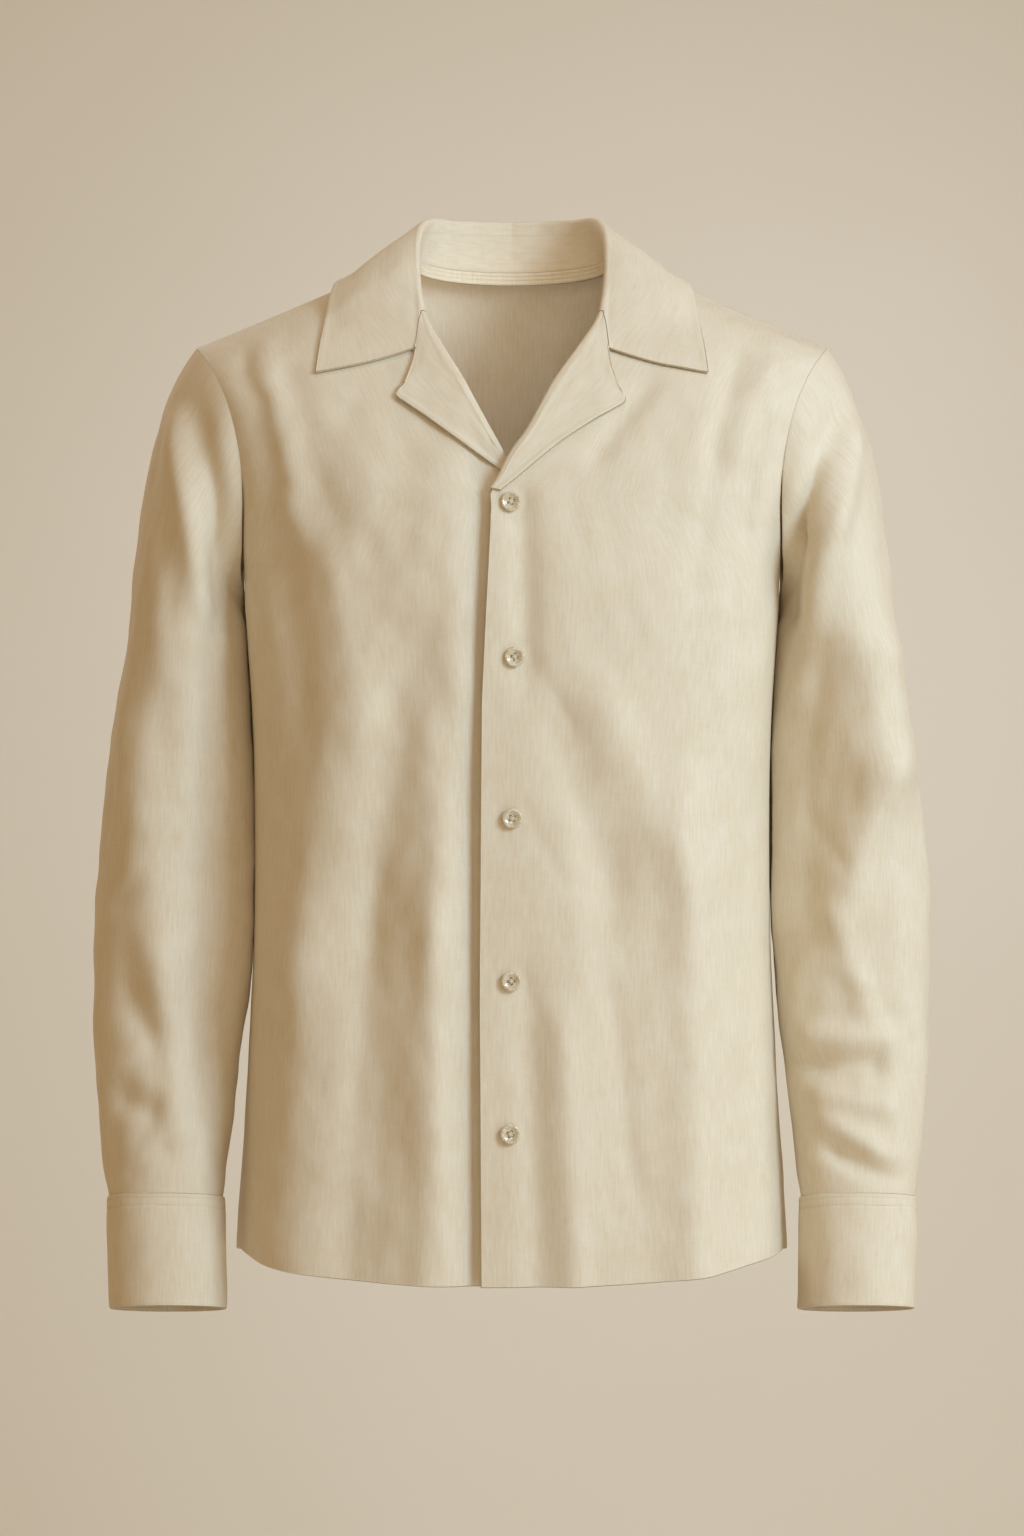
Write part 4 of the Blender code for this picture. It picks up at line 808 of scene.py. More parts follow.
# ---------------------------------------------------------------- body
@dataclass
class Body:
    """The two fronts and the back, in the cloth's own steps or finer."""

    cloth: bpy.types.Material
    thick: float = 1.2
    hem_thick: float = 1.7
    hem_high: float = 13.0
    front_columns: int = 14
    back_columns: int = 25
    steps: tuple[int, ...] = (1, 3, 4, 4, 3, 2, 2, 2, 2, 2, 2, 2, 2)
    armpit_row: int = 6
    neck_sway: float = 2.0
    roll_rows: tuple[int, int] = (8, 11)
    underlap_drop: float = 3.5
    break_level: float = -154.0
    break_spread: float = 26.0
    break_drop: float = 7.6
    finer_rows: int = 7
    finer_front: int = 10
    finer_back: int = 7
    uneven: tuple[Waves, ...] = (Waves(0.55, 11, 130, 45), Waves(0.18, 31, 42, 18))
    cover_clear: float = 8.0
    cover_fade: float = 26.0
    button_dent: float = 0.5
    edge_full: float = 0.35
    edge_reach: float = 5.0
    coarse: dict[str, Array] = field(default_factory=dict)
    coarse_normals: dict[str, Array] = field(default_factory=dict)
    fine: dict[str, Array] = field(default_factory=dict)
    fine_normals: dict[str, Array] = field(default_factory=dict)

    def places(self, times: int) -> Array:
        """Where each grid row lies in the tables, times rows to each of the cloth's own."""
        own = np.concatenate([np.arange(n) / n + index for index, n in enumerate(self.steps)])
        own = np.append(own, len(self.steps))
        return np.interp(finer(len(own), times), np.arange(len(own)), own)

    def seam_line(self, points: Array, where: Array) -> Array:
        """An outer edge: one curve up the side seam and another round the armhole."""
        low = self.armpit_row
        side = smooth_table(points[:low + 1], np.minimum(where, low))
        hole = smooth_table(points[low:], np.maximum(where - low, 0.0))
        return np.where(where[:, None] <= low, side, hole)

    def row_curves(self, inner: Array, outer: Array, turns: tuple[Array, Array],
                   pulls: tuple[Array, Array], where: Array) -> Array:
        """Cubic Bezier rows (1-s)^3 a + 3 (1-s)^2 s b + 3 (1-s) s^2 c + s^3 d across a panel."""
        start, end = smooth_table(inner, where), self.seam_line(outer, where)
        span = np.linalg.norm(end - start, axis=1)[:, None]
        fall = ((end - start)[:, 2:3] / span) * np.array([[0.0, 0.0, 1.0]])
        lead = heading(smooth_table(turns[0], where))
        lead = lead + fall * smooth_step((where[:, None] - self.armpit_row) / 4.0)
        follow = heading(smooth_table(turns[1], where)) + fall
        first = start + lead * span * smooth_table(pulls[0], where)[:, None]
        second = end - follow * span * smooth_table(pulls[1], where)[:, None]
        s = np.linspace(0, 1, 60)[None, :, None]
        a, b, c, d = (item[:, None, :] for item in (start, first, second, end))
        return (1 - s) ** 3 * a + 3 * (1 - s) ** 2 * s * b + 3 * (1 - s) * s * s * c + s ** 3 * d

    def front_half(self, sway: float, where: Array) -> Array:
        """One front from the centre and roll line to the side and armhole, on +X."""
        inner = table_column(FRONT_ROWS, "in_x", "in_y", "in_z")
        inner[slice(*self.roll_rows), 0] += sway
        outer = table_column(FRONT_ROWS, "out_x", "out_y", "out_z")
        turns = table_column(FRONT_ROWS, "in_turn"), table_column(FRONT_ROWS, "out_turn")
        pulls = table_column(FRONT_ROWS, "in_pull"), table_column(FRONT_ROWS, "out_pull")
        rows = self.row_curves(inner, outer, turns, pulls, where)
        reach = np.interp(rows[:, 0, 2], EDGE_LEVELS, EDGE_REACH, right=0.0)
        share = np.linspace(1.0, 0.0, 6, endpoint=False)[None, :, None]
        past = rows[:, :1] - share * reach[:, None, None] * np.array([1.0, 0.0, 0.0])
        return np.concatenate([past, rows], axis=1)

    def top_edge(self, count: int) -> Array:
        """Back neckline from the centre to the neck point, then the shoulder seam."""
        neck, shoulder = FRONT_ROWS[-1], BACK_ROWS[-1]
        angle = np.linspace(0, math.pi / 2, 24)
        neckline = np.stack([neck.in_x * np.sin(angle), neck.in_y + (shoulder.mid_y - neck.in_y) * np.cos(angle),
                             neck.in_z + (shoulder.mid_z - neck.in_z) * np.cos(angle)], axis=1)
        start = np.array([neck.in_x, neck.in_y, neck.in_z])
        end = np.array([shoulder.out_x, shoulder.out_y, shoulder.out_z])
        seam = start + np.linspace(0, 1, 24)[1:, None] * (end - start)
        return even_out(np.concatenate([neckline, seam])[None], count)[0]

    def back_half(self, where: Array) -> Array:
        """The back from its centre line to the side and armhole, on +X."""
        zero = 0.0 * table_column(BACK_ROWS, "mid_y")
        middle = np.stack([zero, table_column(BACK_ROWS, "mid_y"), table_column(BACK_ROWS, "mid_z")], axis=1)
        outer = table_column(BACK_ROWS, "out_x", "out_y", "out_z")
        pulls = table_column(BACK_ROWS, "mid_pull"), table_column(BACK_ROWS, "out_pull")
        rows = self.row_curves(middle, outer, (zero, -table_column(BACK_ROWS, "out_turn")), pulls, where)
        ease = smooth_step((where - (len(BACK_ROWS) - 4)) / 3.0)[:, None, None]
        return rows + ease * (self.top_edge(rows.shape[1]) - rows[-1])[None]

    def from_seams(self, name: str, count: int) -> Array:
        """The cloth's own steps from a panel's sewn side, or from the nearer of the back's two."""
        steps = (self.back_columns if name == "back" else self.front_columns) - 1
        across = np.linspace(0, 1, count)
        span = {"front_left": 1 - across, "front_right": across}.get(name, np.minimum(across, 1 - across))
        return span * steps

    def edge_fade(self, name: str, shape: tuple[int, ...], times: int) -> Array:
        """1 inside a panel and 0 at its seams, so that the seams still meet."""
        rows = np.arange(shape[0])[::-1][:, None] / times
        return smooth_step(self.from_seams(name, shape[1]) / 2.5)[None, :] * smooth_step(rows / 3.5)

    def soften(self, name: str, grid: Array, times: int) -> Array:
        """Rows near the armpit eased into one another, less toward the seams.

        There the side seam turns into the armhole, and the rows get shorter all at once.
        """
        low = sum(self.steps[:self.armpit_row]) * times
        around = np.arange(-3 * times, 3 * times + 1)
        weights = np.exp(-(around / (1.3 * times)) ** 2)
        rows = np.arange(len(grid))
        index = np.clip(rows[:, None] + around[None, :], 0, len(grid) - 1)
        eased = np.einsum("rkcx,k->rcx", grid[index], weights / weights.sum())
        near = np.exp(-((rows - low) / (2.6 * times)) ** 2)[:, None]
        share = near * smooth_step(self.from_seams(name, grid.shape[1]) / 3.0)
        return grid + share[..., None] * (eased - grid)

    def sheets(self, times: int, front_times: int, back_times: int) -> dict[str, Array]:
        """The three panels with their main folds, times rows to each of the cloth's own."""
        where = self.places(times)
        count = (self.front_columns - 1) * front_times + 1
        left = even_out(self.front_half(-self.neck_sway, where), count)
        right = even_out(mirror(self.front_half(self.neck_sway, where))[:, ::-1], count)
        back = self.back_half(where)
        back = even_out(np.concatenate([back[:, ::-1], mirror(back)[:, 1:]], axis=1),
                        (self.back_columns - 1) * back_times + 1)
        made = {"front_left": left, "front_right": right, "back": back}
        for name, grid in made.items():
            grid = self.soften(name, grid, times)
            seen = mirror(grid) if name == "front_right" else grid
            height = fold_field(seen, FOLDS[name]) * self.edge_fade(name, grid.shape, times)
            made[name] = grid + height[..., None] * grid_normals(grid)
        return made

    def normals(self, sheets: dict[str, Array], times: int) -> dict[str, Array]:
        """Normals of the panels, shared where they are sewn together."""
        made = {name: grid_normals(grid) for name, grid in sheets.items()}
        low = sum(self.steps[:self.armpit_row]) * times
        neck = FRONT_ROWS[-1]
        top = unit(np.array([neck.in_z - neck.out_z, 0.0, neck.out_x - neck.in_x]))
        for name, side, sign in (("front_left", 0, 1.0), ("front_right", -1, -1.0)):
            edge = -1 if name == "front_left" else 0
            shared = unit(made[name][:low + 1, edge] + made["back"][:low + 1, side])
            made[name][:low + 1, edge] = shared
            made["back"][:low + 1, side] = shared
            seam_way = top * np.array([sign, 1.0, 1.0])
            made[name][-1] = seam_way
            top_x = sheets["back"][-1, :, 0]
            made["back"][-1, (np.abs(top_x) > neck.in_x - 1.0) & (np.sign(top_x) == sign)] = seam_way
        return made

    def shape(self) -> None:
        """Works out the coarse and the fine panels."""
        self.coarse = self.sheets(1, 1, 1)
        under, top = self.coarse["front_right"], self.coarse["front_left"]
        near = np.exp(-((under[..., 2] - self.break_level) / self.break_spread) ** 2)
        laid = lay_over(under, top, -grid_normals(top), self.underlap_drop + self.break_drop * near)
        drop = laid - under
        self.coarse["front_right"] = laid
        self.coarse_normals = self.normals(self.coarse, 1)
        self.fine = self.sheets(self.finer_rows, self.finer_front, self.finer_back)
        self.fine["front_right"] = self.fine["front_right"] + resample(
            drop, finer(drop.shape[0], self.finer_rows), finer(drop.shape[1], self.finer_front))
        self.fine_normals = self.normals(self.fine, self.finer_rows)

    def crease(self, cover: list[Array], buttons: Array) -> None:
        """Adds small creases and unevenness, clear of what lies on the panels.

        Args:
            cover: points of the collar and lapels; the creases fade out beneath them.
            buttons: the buttons' feet, round which the cloth draws in.
        """
        for number, (name, grid) in enumerate(self.fine.items()):
            seen = mirror(grid) if name == "front_right" else grid
            height = fold_field(seen, CREASES[name])
            for size in self.uneven:
                height = height + unevenness(grid, size, number)
            fade = self.edge_fade(name, grid.shape, self.finer_rows)
            fade = fade * smooth_step((self.distance(grid, cover) - self.cover_clear) / self.cover_fade)
            if name != "back":
                # calmer where the fronts overlap, and still above the break
                aside = smooth_step((np.abs(grid[..., 0]) - 24.0) / 22.0)
                below = smooth_step((-grid[..., 2] - 150.0) / 40.0)
                fade = fade * (aside if name == "front_right" else 0.35 + 0.65 * aside)
                fade = fade * (below * (1 - aside) + aside)
            moved = height * fade
            if name == "front_left":
                apart = np.linalg.norm(grid[:, :, None] - buttons[None, None], axis=3).min(axis=2)
                dent = self.button_dent * np.exp(-((apart - 10.0) / 4.5) ** 2)
                moved = moved * smooth_step((apart - 7.0) / 9.0) - dent
            self.fine[name] = grid + moved[..., None] * self.fine_normals[name]
        self.fine_normals = self.normals(self.fine, self.finer_rows)

    @staticmethod
    def distance(grid: Array, cover: list[Array]) -> Array:
        """Distance of each point to the nearest of the covering points."""
        samples = np.concatenate([item.reshape(-1, 3) for item in cover])
        flat = grid.reshape(-1, 3)
        found = np.empty(len(flat))
        for start in range(0, len(flat), 2048):
            apart = flat[start:start + 2048, None] - samples[None]
            found[start:start + 2048] = np.sqrt((apart ** 2).sum(axis=2).min(axis=1))
        return found.reshape(grid.shape[:2])

    def build(self) -> None:
        """Makes the three shells: thicker at the turned hem, thinner at the sewn seams."""
        for name, grid in self.fine.items():
            rows, count = grid.shape[:2]
            step = np.linalg.norm(grid[:, 1] - grid[:, 0], axis=1)[:, None]
            in_left = step * np.arange(count)[None, :]
            in_right = in_left[:, ::-1]
            up = np.abs(grid[..., 2] - grid[:1, :, 2])
            sewn = {"front_left": in_right, "front_right": in_left}.get(name, np.minimum(in_left, in_right))
            free = {"front_left": in_left, "front_right": in_right}.get(name)
            thick = self.thick + (self.hem_thick - self.thick) * smooth_step((self.hem_high - up) / 4.0)
            thick = thick - SEAM_THIN * self.thick * np.exp(-(sewn / SEAM_REACH) ** 2)
            if free is not None:
                thick = thick + self.edge_full * np.exp(-(free / self.edge_reach) ** 2)
            piece = shell(name + "_cloth", grid, self.fine_normals[name], thick, self.cloth)
            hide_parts(name)


# ---------------------------------------------------------------- sleeves and cuffs
@dataclass
class Sleeves:
    """Both sleeves, from the armholes to the cuffs, and the cuffs."""

    body: Body
    cloth: bpy.types.Material
    thick: float = 1.2
    cuff_thick: float = 2.1
    cap_rows: int = 7
    ring_rows: int = 15
    finer: int = 7
    underarm_clear: float = 1.3
    hug: float = 6.0
    hug_end: float = -575.0
    hug_fade: float = 100.0
    close: float = 6.0
    close_level: float = -228.0
    close_spread: float = 48.0
    long_waves: Waves = Waves(0.6, 51, 110, 35)
    short_waves: Waves = Waves(0.2, 61, 34, 16)
    cuff_waves: Waves = Waves(0.35, 71, 60, 20)
    groove_depths: tuple[float, float] = (0.55, 0.6)
    into_cuff: Ring = Ring(247.0, -28.1, -675.0, 38.9, 36.6, 10)

    def armhole(self, sheets: dict[str, Array], normals: dict[str, Array],
                times: int) -> tuple[Array, Array]:
        """Points and normals round the left armhole: shoulder, front, underarm, back."""
        low = sum(self.body.steps[:self.body.armpit_row]) * times
        front, back = sheets["front_left"][:, -1], sheets["back"][:, 0]
        ways, back_ways = normals["front_left"][:, -1], normals["back"][:, 0]
        return (np.concatenate([front[:low - 1:-1], back[low + 1:-1]]),
                np.concatenate([ways[:low - 1:-1], back_ways[low + 1:-1]]))

    @staticmethod
    def angles(loop: Array) -> Array:
        """Angle of each armhole point: 0 at the shoulder, half a turn at the underarm."""
        low = int(np.argmin(loop[:, 2]))
        closed = np.concatenate([loop, loop[:1]])
        run = run_length(closed)
        front = math.pi * run[:low + 1] / run[low]
        back = math.pi + math.pi * (run[low + 1:-1] - run[low]) / (run[-1] - run[low])
        return np.concatenate([front, back])

    @staticmethod
    def rings(table: list[Ring], where: Array, angles: Array) -> Array:
        """Rings: middle + outward x half width x cos + forward x half depth x sin."""
        data = smooth_table(np.array(table, dtype=float), where)
        lean = np.radians(data[:, 5])[:, None]
        sine, cosine = np.sin(angles)[None, :], np.cos(angles)[None, :]
        return np.stack([data[:, 0:1] + data[:, 3:4] * cosine,
                         data[:, 1:2] - data[:, 4:5] * sine * np.cos(lean),
                         data[:, 2:3] + data[:, 4:5] * sine * np.sin(lean)], axis=2)

    def plain(self, sheets: dict[str, Array], normals: dict[str, Array], times: int,
              seam: float) -> tuple[Array, Array, Array]:
        """Left sleeve without folds: a Hermite run from the armhole, then the rings.

        Args:
            sheets: the body's panels.
            normals: their normals.
            times: rows and columns to each of the cloth's own.
            seam: gap at the armhole seam.

        Returns:
            The grid, the angle of each column, and how far each is tucked at the underarm.
        """
        loop, ways = self.armhole(sheets, normals, times)
        angles = self.angles(loop)
        top = np.cos(angles)[:, None]
        tuck = smooth_step((0.35 - top) / 1.25)
        # the cloth leaves the shoulder outward and the underarm more steeply downward
        leave = unit(np.concatenate([0.55 + 0.05 * top, -0.12 * np.sin(angles)[:, None],
                                     -0.93 + 0.13 * top], axis=1))
        start = loop + seam * 1.6 * (1 - tuck) * leave + self.underarm_clear * tuck * ways
        where = np.linspace(0, len(SLEEVE_RINGS) - 1, (self.ring_rows - 1) * times + 1)
        rings = self.rings(SLEEVE_RINGS, where, angles)
        reach = self.hug + self.close * np.exp(-((rings[..., 2] - self.close_level) / self.close_spread) ** 2)
        fade = smooth_step((rings[..., 2] - self.hug_end) / self.hug_fade)
        rings[..., 0] -= reach * np.clip(-top.T, 0, 1) ** 1.5 * fade
        # a Hermite run whose end headings are go and come; the power sets its rows closer at the seam
        span = np.linalg.norm(rings[0] - start, axis=1)[:, None]
        go = span * (0.79 + 0.09 * top) * leave
        come = span * 0.9 * np.array([[0.06, 0.0, -1.0]])
        share = (np.arange(self.cap_rows * times) / (self.cap_rows * times))[:, None, None] ** 1.15
        run = ((2 * share ** 3 - 3 * share ** 2 + 1) * start + (3 * share ** 2 - 2 * share ** 3) * rings[0]
               + (share ** 3 - 2 * share ** 2 + share) * go + (share ** 3 - share ** 2) * come)
        return np.concatenate([run, rings]), angles, tuck[:, 0]

    def dress(self, grid: Array, angles: Array, folds: dict[str, list[Fold]], name: str,
              times: int) -> Array:
        """Folds of a sleeve, front and back apart, fading at its two seams."""
        front, rear = (smooth_step((0.1 + sign * np.sin(angles)) / 0.7)[None, :] for sign in (1, -1))
        rows = np.arange(len(grid))[:, None] / times
        fade = smooth_step(rows / 3.0) * smooth_step((self.cap_rows + self.ring_rows - 1 - rows) / 2.0)
        height = front * fold_field(grid, folds[name]) + rear * fold_field(grid, folds["sleeve_back"])
        return grid + (height * fade)[..., None] * grid_normals(grid, closed=True)

    def clear_body(self, grid: Array, tuck: Array, side: Side) -> Array:
        """The coarse sleeve laid clear of the body's side, where it is tucked."""
        flip = mirror if side is Side.RIGHT else np.array
        clear = np.where(tuck > 0.02, (WALL + LAY_CLEAR + 0.5) * tuck, -1e6)[None, :]
        for name in (side.named("front"), "back"):
            grid = lay_over(grid, flip(self.body.coarse[name]), flip(self.body.coarse_normals[name]), clear)
        return grid

    def build(self) -> dict[Side, Array]:
        """Makes both sleeves and both cuffs; gives the cuffs' grids for the stitching."""
        coarse, coarse_angles, coarse_tuck = self.plain(self.body.coarse, self.body.coarse_normals, 1, 0.3)
        plain, angles, tuck = self.plain(self.body.fine, self.body.fine_normals, self.finer, 0.1)
        rows = finer(len(coarse), self.finer)
        columns = np.arange(coarse.shape[1] * self.finer) / self.finer
        cuffs = {}
        for number, side in enumerate(Side):
            name = side.named("sleeve")
            own = self.dress(coarse, coarse_angles, FOLDS, name, 1)
            moved = resample(self.clear_body(own, coarse_tuck, side) - own, rows, columns, closed=True)
            grid = self.dress(plain, angles, FOLDS, name, self.finer) + moved
            grid = self.dress(grid, angles, CREASES, name, self.finer)
            uneven = unevenness(grid, self.long_waves, number) + unevenness(grid, self.short_waves, number)
            places = np.arange(len(grid))[:, None] / self.finer
            fade = smooth_step(places / 3.0) * smooth_step((rows[-1] - places) / 1.5)
            fade = fade * (1 - 0.9 * tuck[None, :] * smooth_step((9.0 - places) / 4.0))
            grid = grid + (uneven * fade)[..., None] * grid_normals(grid, closed=True)
            tail = self.rings([SLEEVE_RINGS[-1], self.into_cuff], np.array([0.35, 0.7, 1.0]), angles)
            grid = np.concatenate([grid, tail])
            way = grid_normals(grid, closed=True)
            _, ways = self.armhole(self.body.fine, self.body.fine_normals, self.finer)
            way[0] = unit(way[0] * tuck[:, None] + ways * (1 - tuck)[:, None])
            cuff = self.cuff(angles)
            cuff_way = grid_normals(cuff, closed=True)
            if side is Side.RIGHT:
                grid, way, cuff, cuff_way = (mirror(item)[:, ::-1] for item in (grid, way, cuff, cuff_way))
            from_seam = np.linalg.norm(grid - grid[:1], axis=2)
            thick = self.thick * (1 - SEAM_THIN * np.exp(-(from_seam / SEAM_REACH) ** 2))
            piece = shell(name + "_cloth", grid, way, thick, self.cloth, closed=True)
            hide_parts(name)
            front = side.named("front") + "_cloth"
            cuffs[side] = cuff
            self.build_cuff(side.named("cuff"), cuff, cuff_way)
        return cuffs

    @staticmethod
    def cuff(angles: Array) -> Array:
        """A cuff's rings, close together at its sewn top and turned bottom edge."""
        where = np.concatenate([np.linspace(0, 0.34, 22), np.linspace(0.38, 1.78, 30),
                                np.linspace(1.82, 2.0, 12)])
        return Sleeves.rings(CUFF_RINGS, where, angles)

    def build_cuff(self, name: str, cuff: Array, way: Array) -> None:
        """A cuff: two layers with two stitched grooves under its top edge."""
        down = np.linalg.norm(cuff - cuff[:1], axis=2)
        up = np.linalg.norm(cuff - cuff[-1:], axis=2)
        thick = self.cuff_thick - 0.8 * np.exp(-(down / 0.9) ** 2) - 0.7 * np.exp(-(up / 1.0) ** 2)
        for groove, deep in zip(CUFF_SEAMS, self.groove_depths):
            thick = thick - deep * np.exp(-((down - groove) / 0.95) ** 2)
        soft = unevenness(cuff, self.cuff_waves)
        soft = soft * smooth_step(down / 9.0) * smooth_step(up / 6.0)
        piece = shell(name + "_cloth", cuff + soft[..., None] * way, way, thick, self.cloth, closed=True)
        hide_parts(name)


# ---------------------------------------------------------------- collar, lapels, tape
def fold_arc(centre: Array, inward: Array, outward: Array, radius: Array, bend: Array, share: Array) -> Array:
    """Points round a fold: its crest faces away from inward and its end is outward.

    Args:
        centre: the fold's centre, one a row.
        inward: unit vectors away from the crest.
        outward: unit vectors toward the end of the fold.
        radius: its radius, one a row.
        bend: how far it turns, in radians, one a row.
        share: where along the turn, 0 .. 1.

    Returns:
        centre + radius (sin(a) outward - cos(a) inward) with a = (share - 1/2) bend.
    """
    angle = (share - 0.5)[None, :, None] * np.reshape(bend, (-1, 1, 1))
    radius = np.reshape(radius, (-1, 1, 1))
    return centre[:, None] + radius * (np.sin(angle) * outward[:, None] - np.cos(angle) * inward[:, None])


@dataclass
class Collar:
    """The collar in one piece: stand, roll and leaf, from notch to notch."""

    body: Body
    cloth: bpy.types.Material
    thick: float = 1.5
    own_rows: int = 17
    finer: int = 6
    notch: tuple[float, float, float] = (68.0, -62.0, -68.5)
    notch_share: float = 0.30
    gorge_share: float = 0.12
    gorge_foot: tuple[float, float, float] = (64.0, -43.0, -41.0)
    gorge_rows: float = 1.6
    end_ease: float = 4.0
    end_sag: float = 3.0
    lift: float = 0.8
    bow: float = 4.0
    seam_sink: float = 0.6
    stand_inset: float = 2.5
    swell: float = 0.7
    calm: float = 0.55
    calm_from: float = 0.8

    def neck_line(self, count: int) -> Array:
        """Neck seam from the gorge round the side to the centre back, in equal steps."""
        inner = table_column(FRONT_ROWS, "in_x", "in_y", "in_z")
        gorge = len(FRONT_ROWS) - 3 + self.gorge_share
        front = smooth_table(inner, np.linspace(gorge, len(FRONT_ROWS) - 1, 16))
        top = self.body.top_edge(200)
        back = top[np.abs(top[:, 0]) < FRONT_ROWS[-1].in_x - 0.5][::-1]
        return even_out(np.concatenate([front, back])[None], count)[0]

    @staticmethod
    def toward_neck(points: Array) -> Array:
        """Level unit vectors from points toward the middle of the neck."""
        ways = np.array([0.0, 8.0, 0.0]) - points
        ways[:, 2] = 0.0
        return unit(ways)

    def half(self, times: int, across: Array) -> Array:
        """Left half of the collar's middle surface.

        Args:
            times: rows to each of the collar's own.
            across: places from the neck seam (0) over the roll (3 .. 6) to the edge (14).

        Returns:
            The grid: rows round the neck from the gorge, columns across the collar.
        """
        rows = finer(self.own_rows, times)
        seam = self.neck_line(len(rows))
        seam = seam + self.stand_inset * self.toward_neck(seam) - np.array([0.0, 0.0, self.seam_sink])
        near_end = 1 - smooth_step(rows / self.gorge_rows)
        seam = seam + near_end[:, None] * (np.array(self.gorge_foot) - seam[0])
        stations = rows * (len(COLLAR_STATIONS) - 1) / (self.own_rows - 1)
        data = smooth_table(np.array(COLLAR_STATIONS, dtype=float), stations)
        roll, leaf = data[:, :3], data[:, 3:]
        along = unit(np.gradient(roll, axis=0))
        to_seam, to_leaf = square_to(seam - roll, along), square_to(leaf - roll, along)
        inward, outward = unit(to_seam + to_leaf), unit(to_leaf - to_seam)
        bend = math.pi - np.arccos(np.clip((to_seam * to_leaf).sum(axis=1), -1.0, 1.0))
        on_stand, on_roll = across < STAND_END, (across >= STAND_END) & (across <= ROLL_END)
        turn = (across[on_roll] - STAND_END) / (ROLL_END - STAND_END)
        centre, radius = roll + ROLL_RADIUS * inward, np.full(len(rows), ROLL_RADIUS)
        arc = fold_arc(centre, inward, outward, radius, bend, turn)
        ends = fold_arc(centre, inward, outward, radius, bend, np.array([0.0, 1.0]))
        climb = np.interp(across[on_stand], [0, 1, 2, 3], [0.0, 0.4, 0.8, 1.0])[None, :, None]
        stand = seam[:, None, :] + climb * (ends[:, :1] - seam[:, None, :])
        even = (across[across > ROLL_END] - ROLL_END) / (LEAF_END - ROLL_END)
        fall = self.leaf(rows, ends[:, 1], leaf, roll, even)
        return np.concatenate([stand, arc, fall], axis=1)

    def leaf(self, rows: Array, start: Array, leaf: Array, roll: Array, even: Array) -> Array:
        """The leaf from the roll to its edge, bellied out, with the notched end eased in."""
        ease = smooth_step(rows / self.end_ease)[:, None]
        first, second = np.clip(2 * even, 0, 1)[:, None], np.clip(2 * even - 1, 0, 1)[:, None]
        end_share = (self.notch_share * first + (1 - self.notch_share) * second)[:, 0]
        share = (ease * even[None, :] + (1 - ease) * end_share[None, :])[..., None]
        fall = start[:, None, :] + share * (leaf - start)[:, None, :]
        face = unit(np.cross(leaf - start, np.gradient(roll, axis=0)))[:, None, :]
        face = face * np.sign(face[..., 2:3] + 1e-9)
        fall = fall + self.bow * (4 * share * (1 - share)) * face
        notch = np.array(self.notch)
        end = np.where(even[:, None] <= 0.5, start[0] + first * (notch - start[0]),
                       notch + second * (leaf[0] - notch))
        end[:, 2] -= self.end_sag * (4 * second * (1 - second))[:, 0] * (even > 0.5)
        return fall + (1 - ease)[..., None] * (end - fall[0])[None]

    def whole(self, times: int, across: Array) -> Array:
        """Both halves, from the left gorge round the back to the right one."""
        half = self.half(times, across)
        return np.concatenate([half, mirror(half)[::-1][1:]], axis=0)

    def shape(self) -> tuple[Array, Array, Array]:
        """The coarse and the fine collar, and the fine one's places across."""
        own = np.arange(15.0)
        across = np.concatenate([np.linspace(0, 3, 13)[:-1], np.linspace(3, 6, 13)[:-1], np.linspace(6, 14, 57)])
        coarse = self.whole(1, own)
        loose = own > ROLL_END
        laid = coarse.copy()
        for name in ("back", "front_left", "front_right"):
            laid[:, loose] = lay_over(laid[:, loose], self.body.coarse[name], self.body.coarse_normals[name],
                                      WALL + LAY_CLEAR + self.lift)
        push = laid - coarse        # rows pushed further than their neighbours come back a little
        peak = push[1:-1] - 0.5 * (push[:-2] + push[2:])
        push[1:-1] -= self.calm * peak * smooth_step(np.linalg.norm(peak, axis=2, keepdims=True) - self.calm_from)
        moved = resample(push, finer(len(coarse), self.finer), across)
        return laid, self.whole(self.finer, across) + moved, across

    def build(self, grid: Array) -> None:
        """Makes the collar, fuller along its outer edge: + swell exp(-((d - 1.7) / 1.5)^2)."""
        thick = self.thick + self.swell * np.exp(-((from_last(grid) - 1.7) / 1.5) ** 2)
        piece = shell("collar_cloth", grid, grid_normals(grid), thick, self.cloth)
        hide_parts("collar")


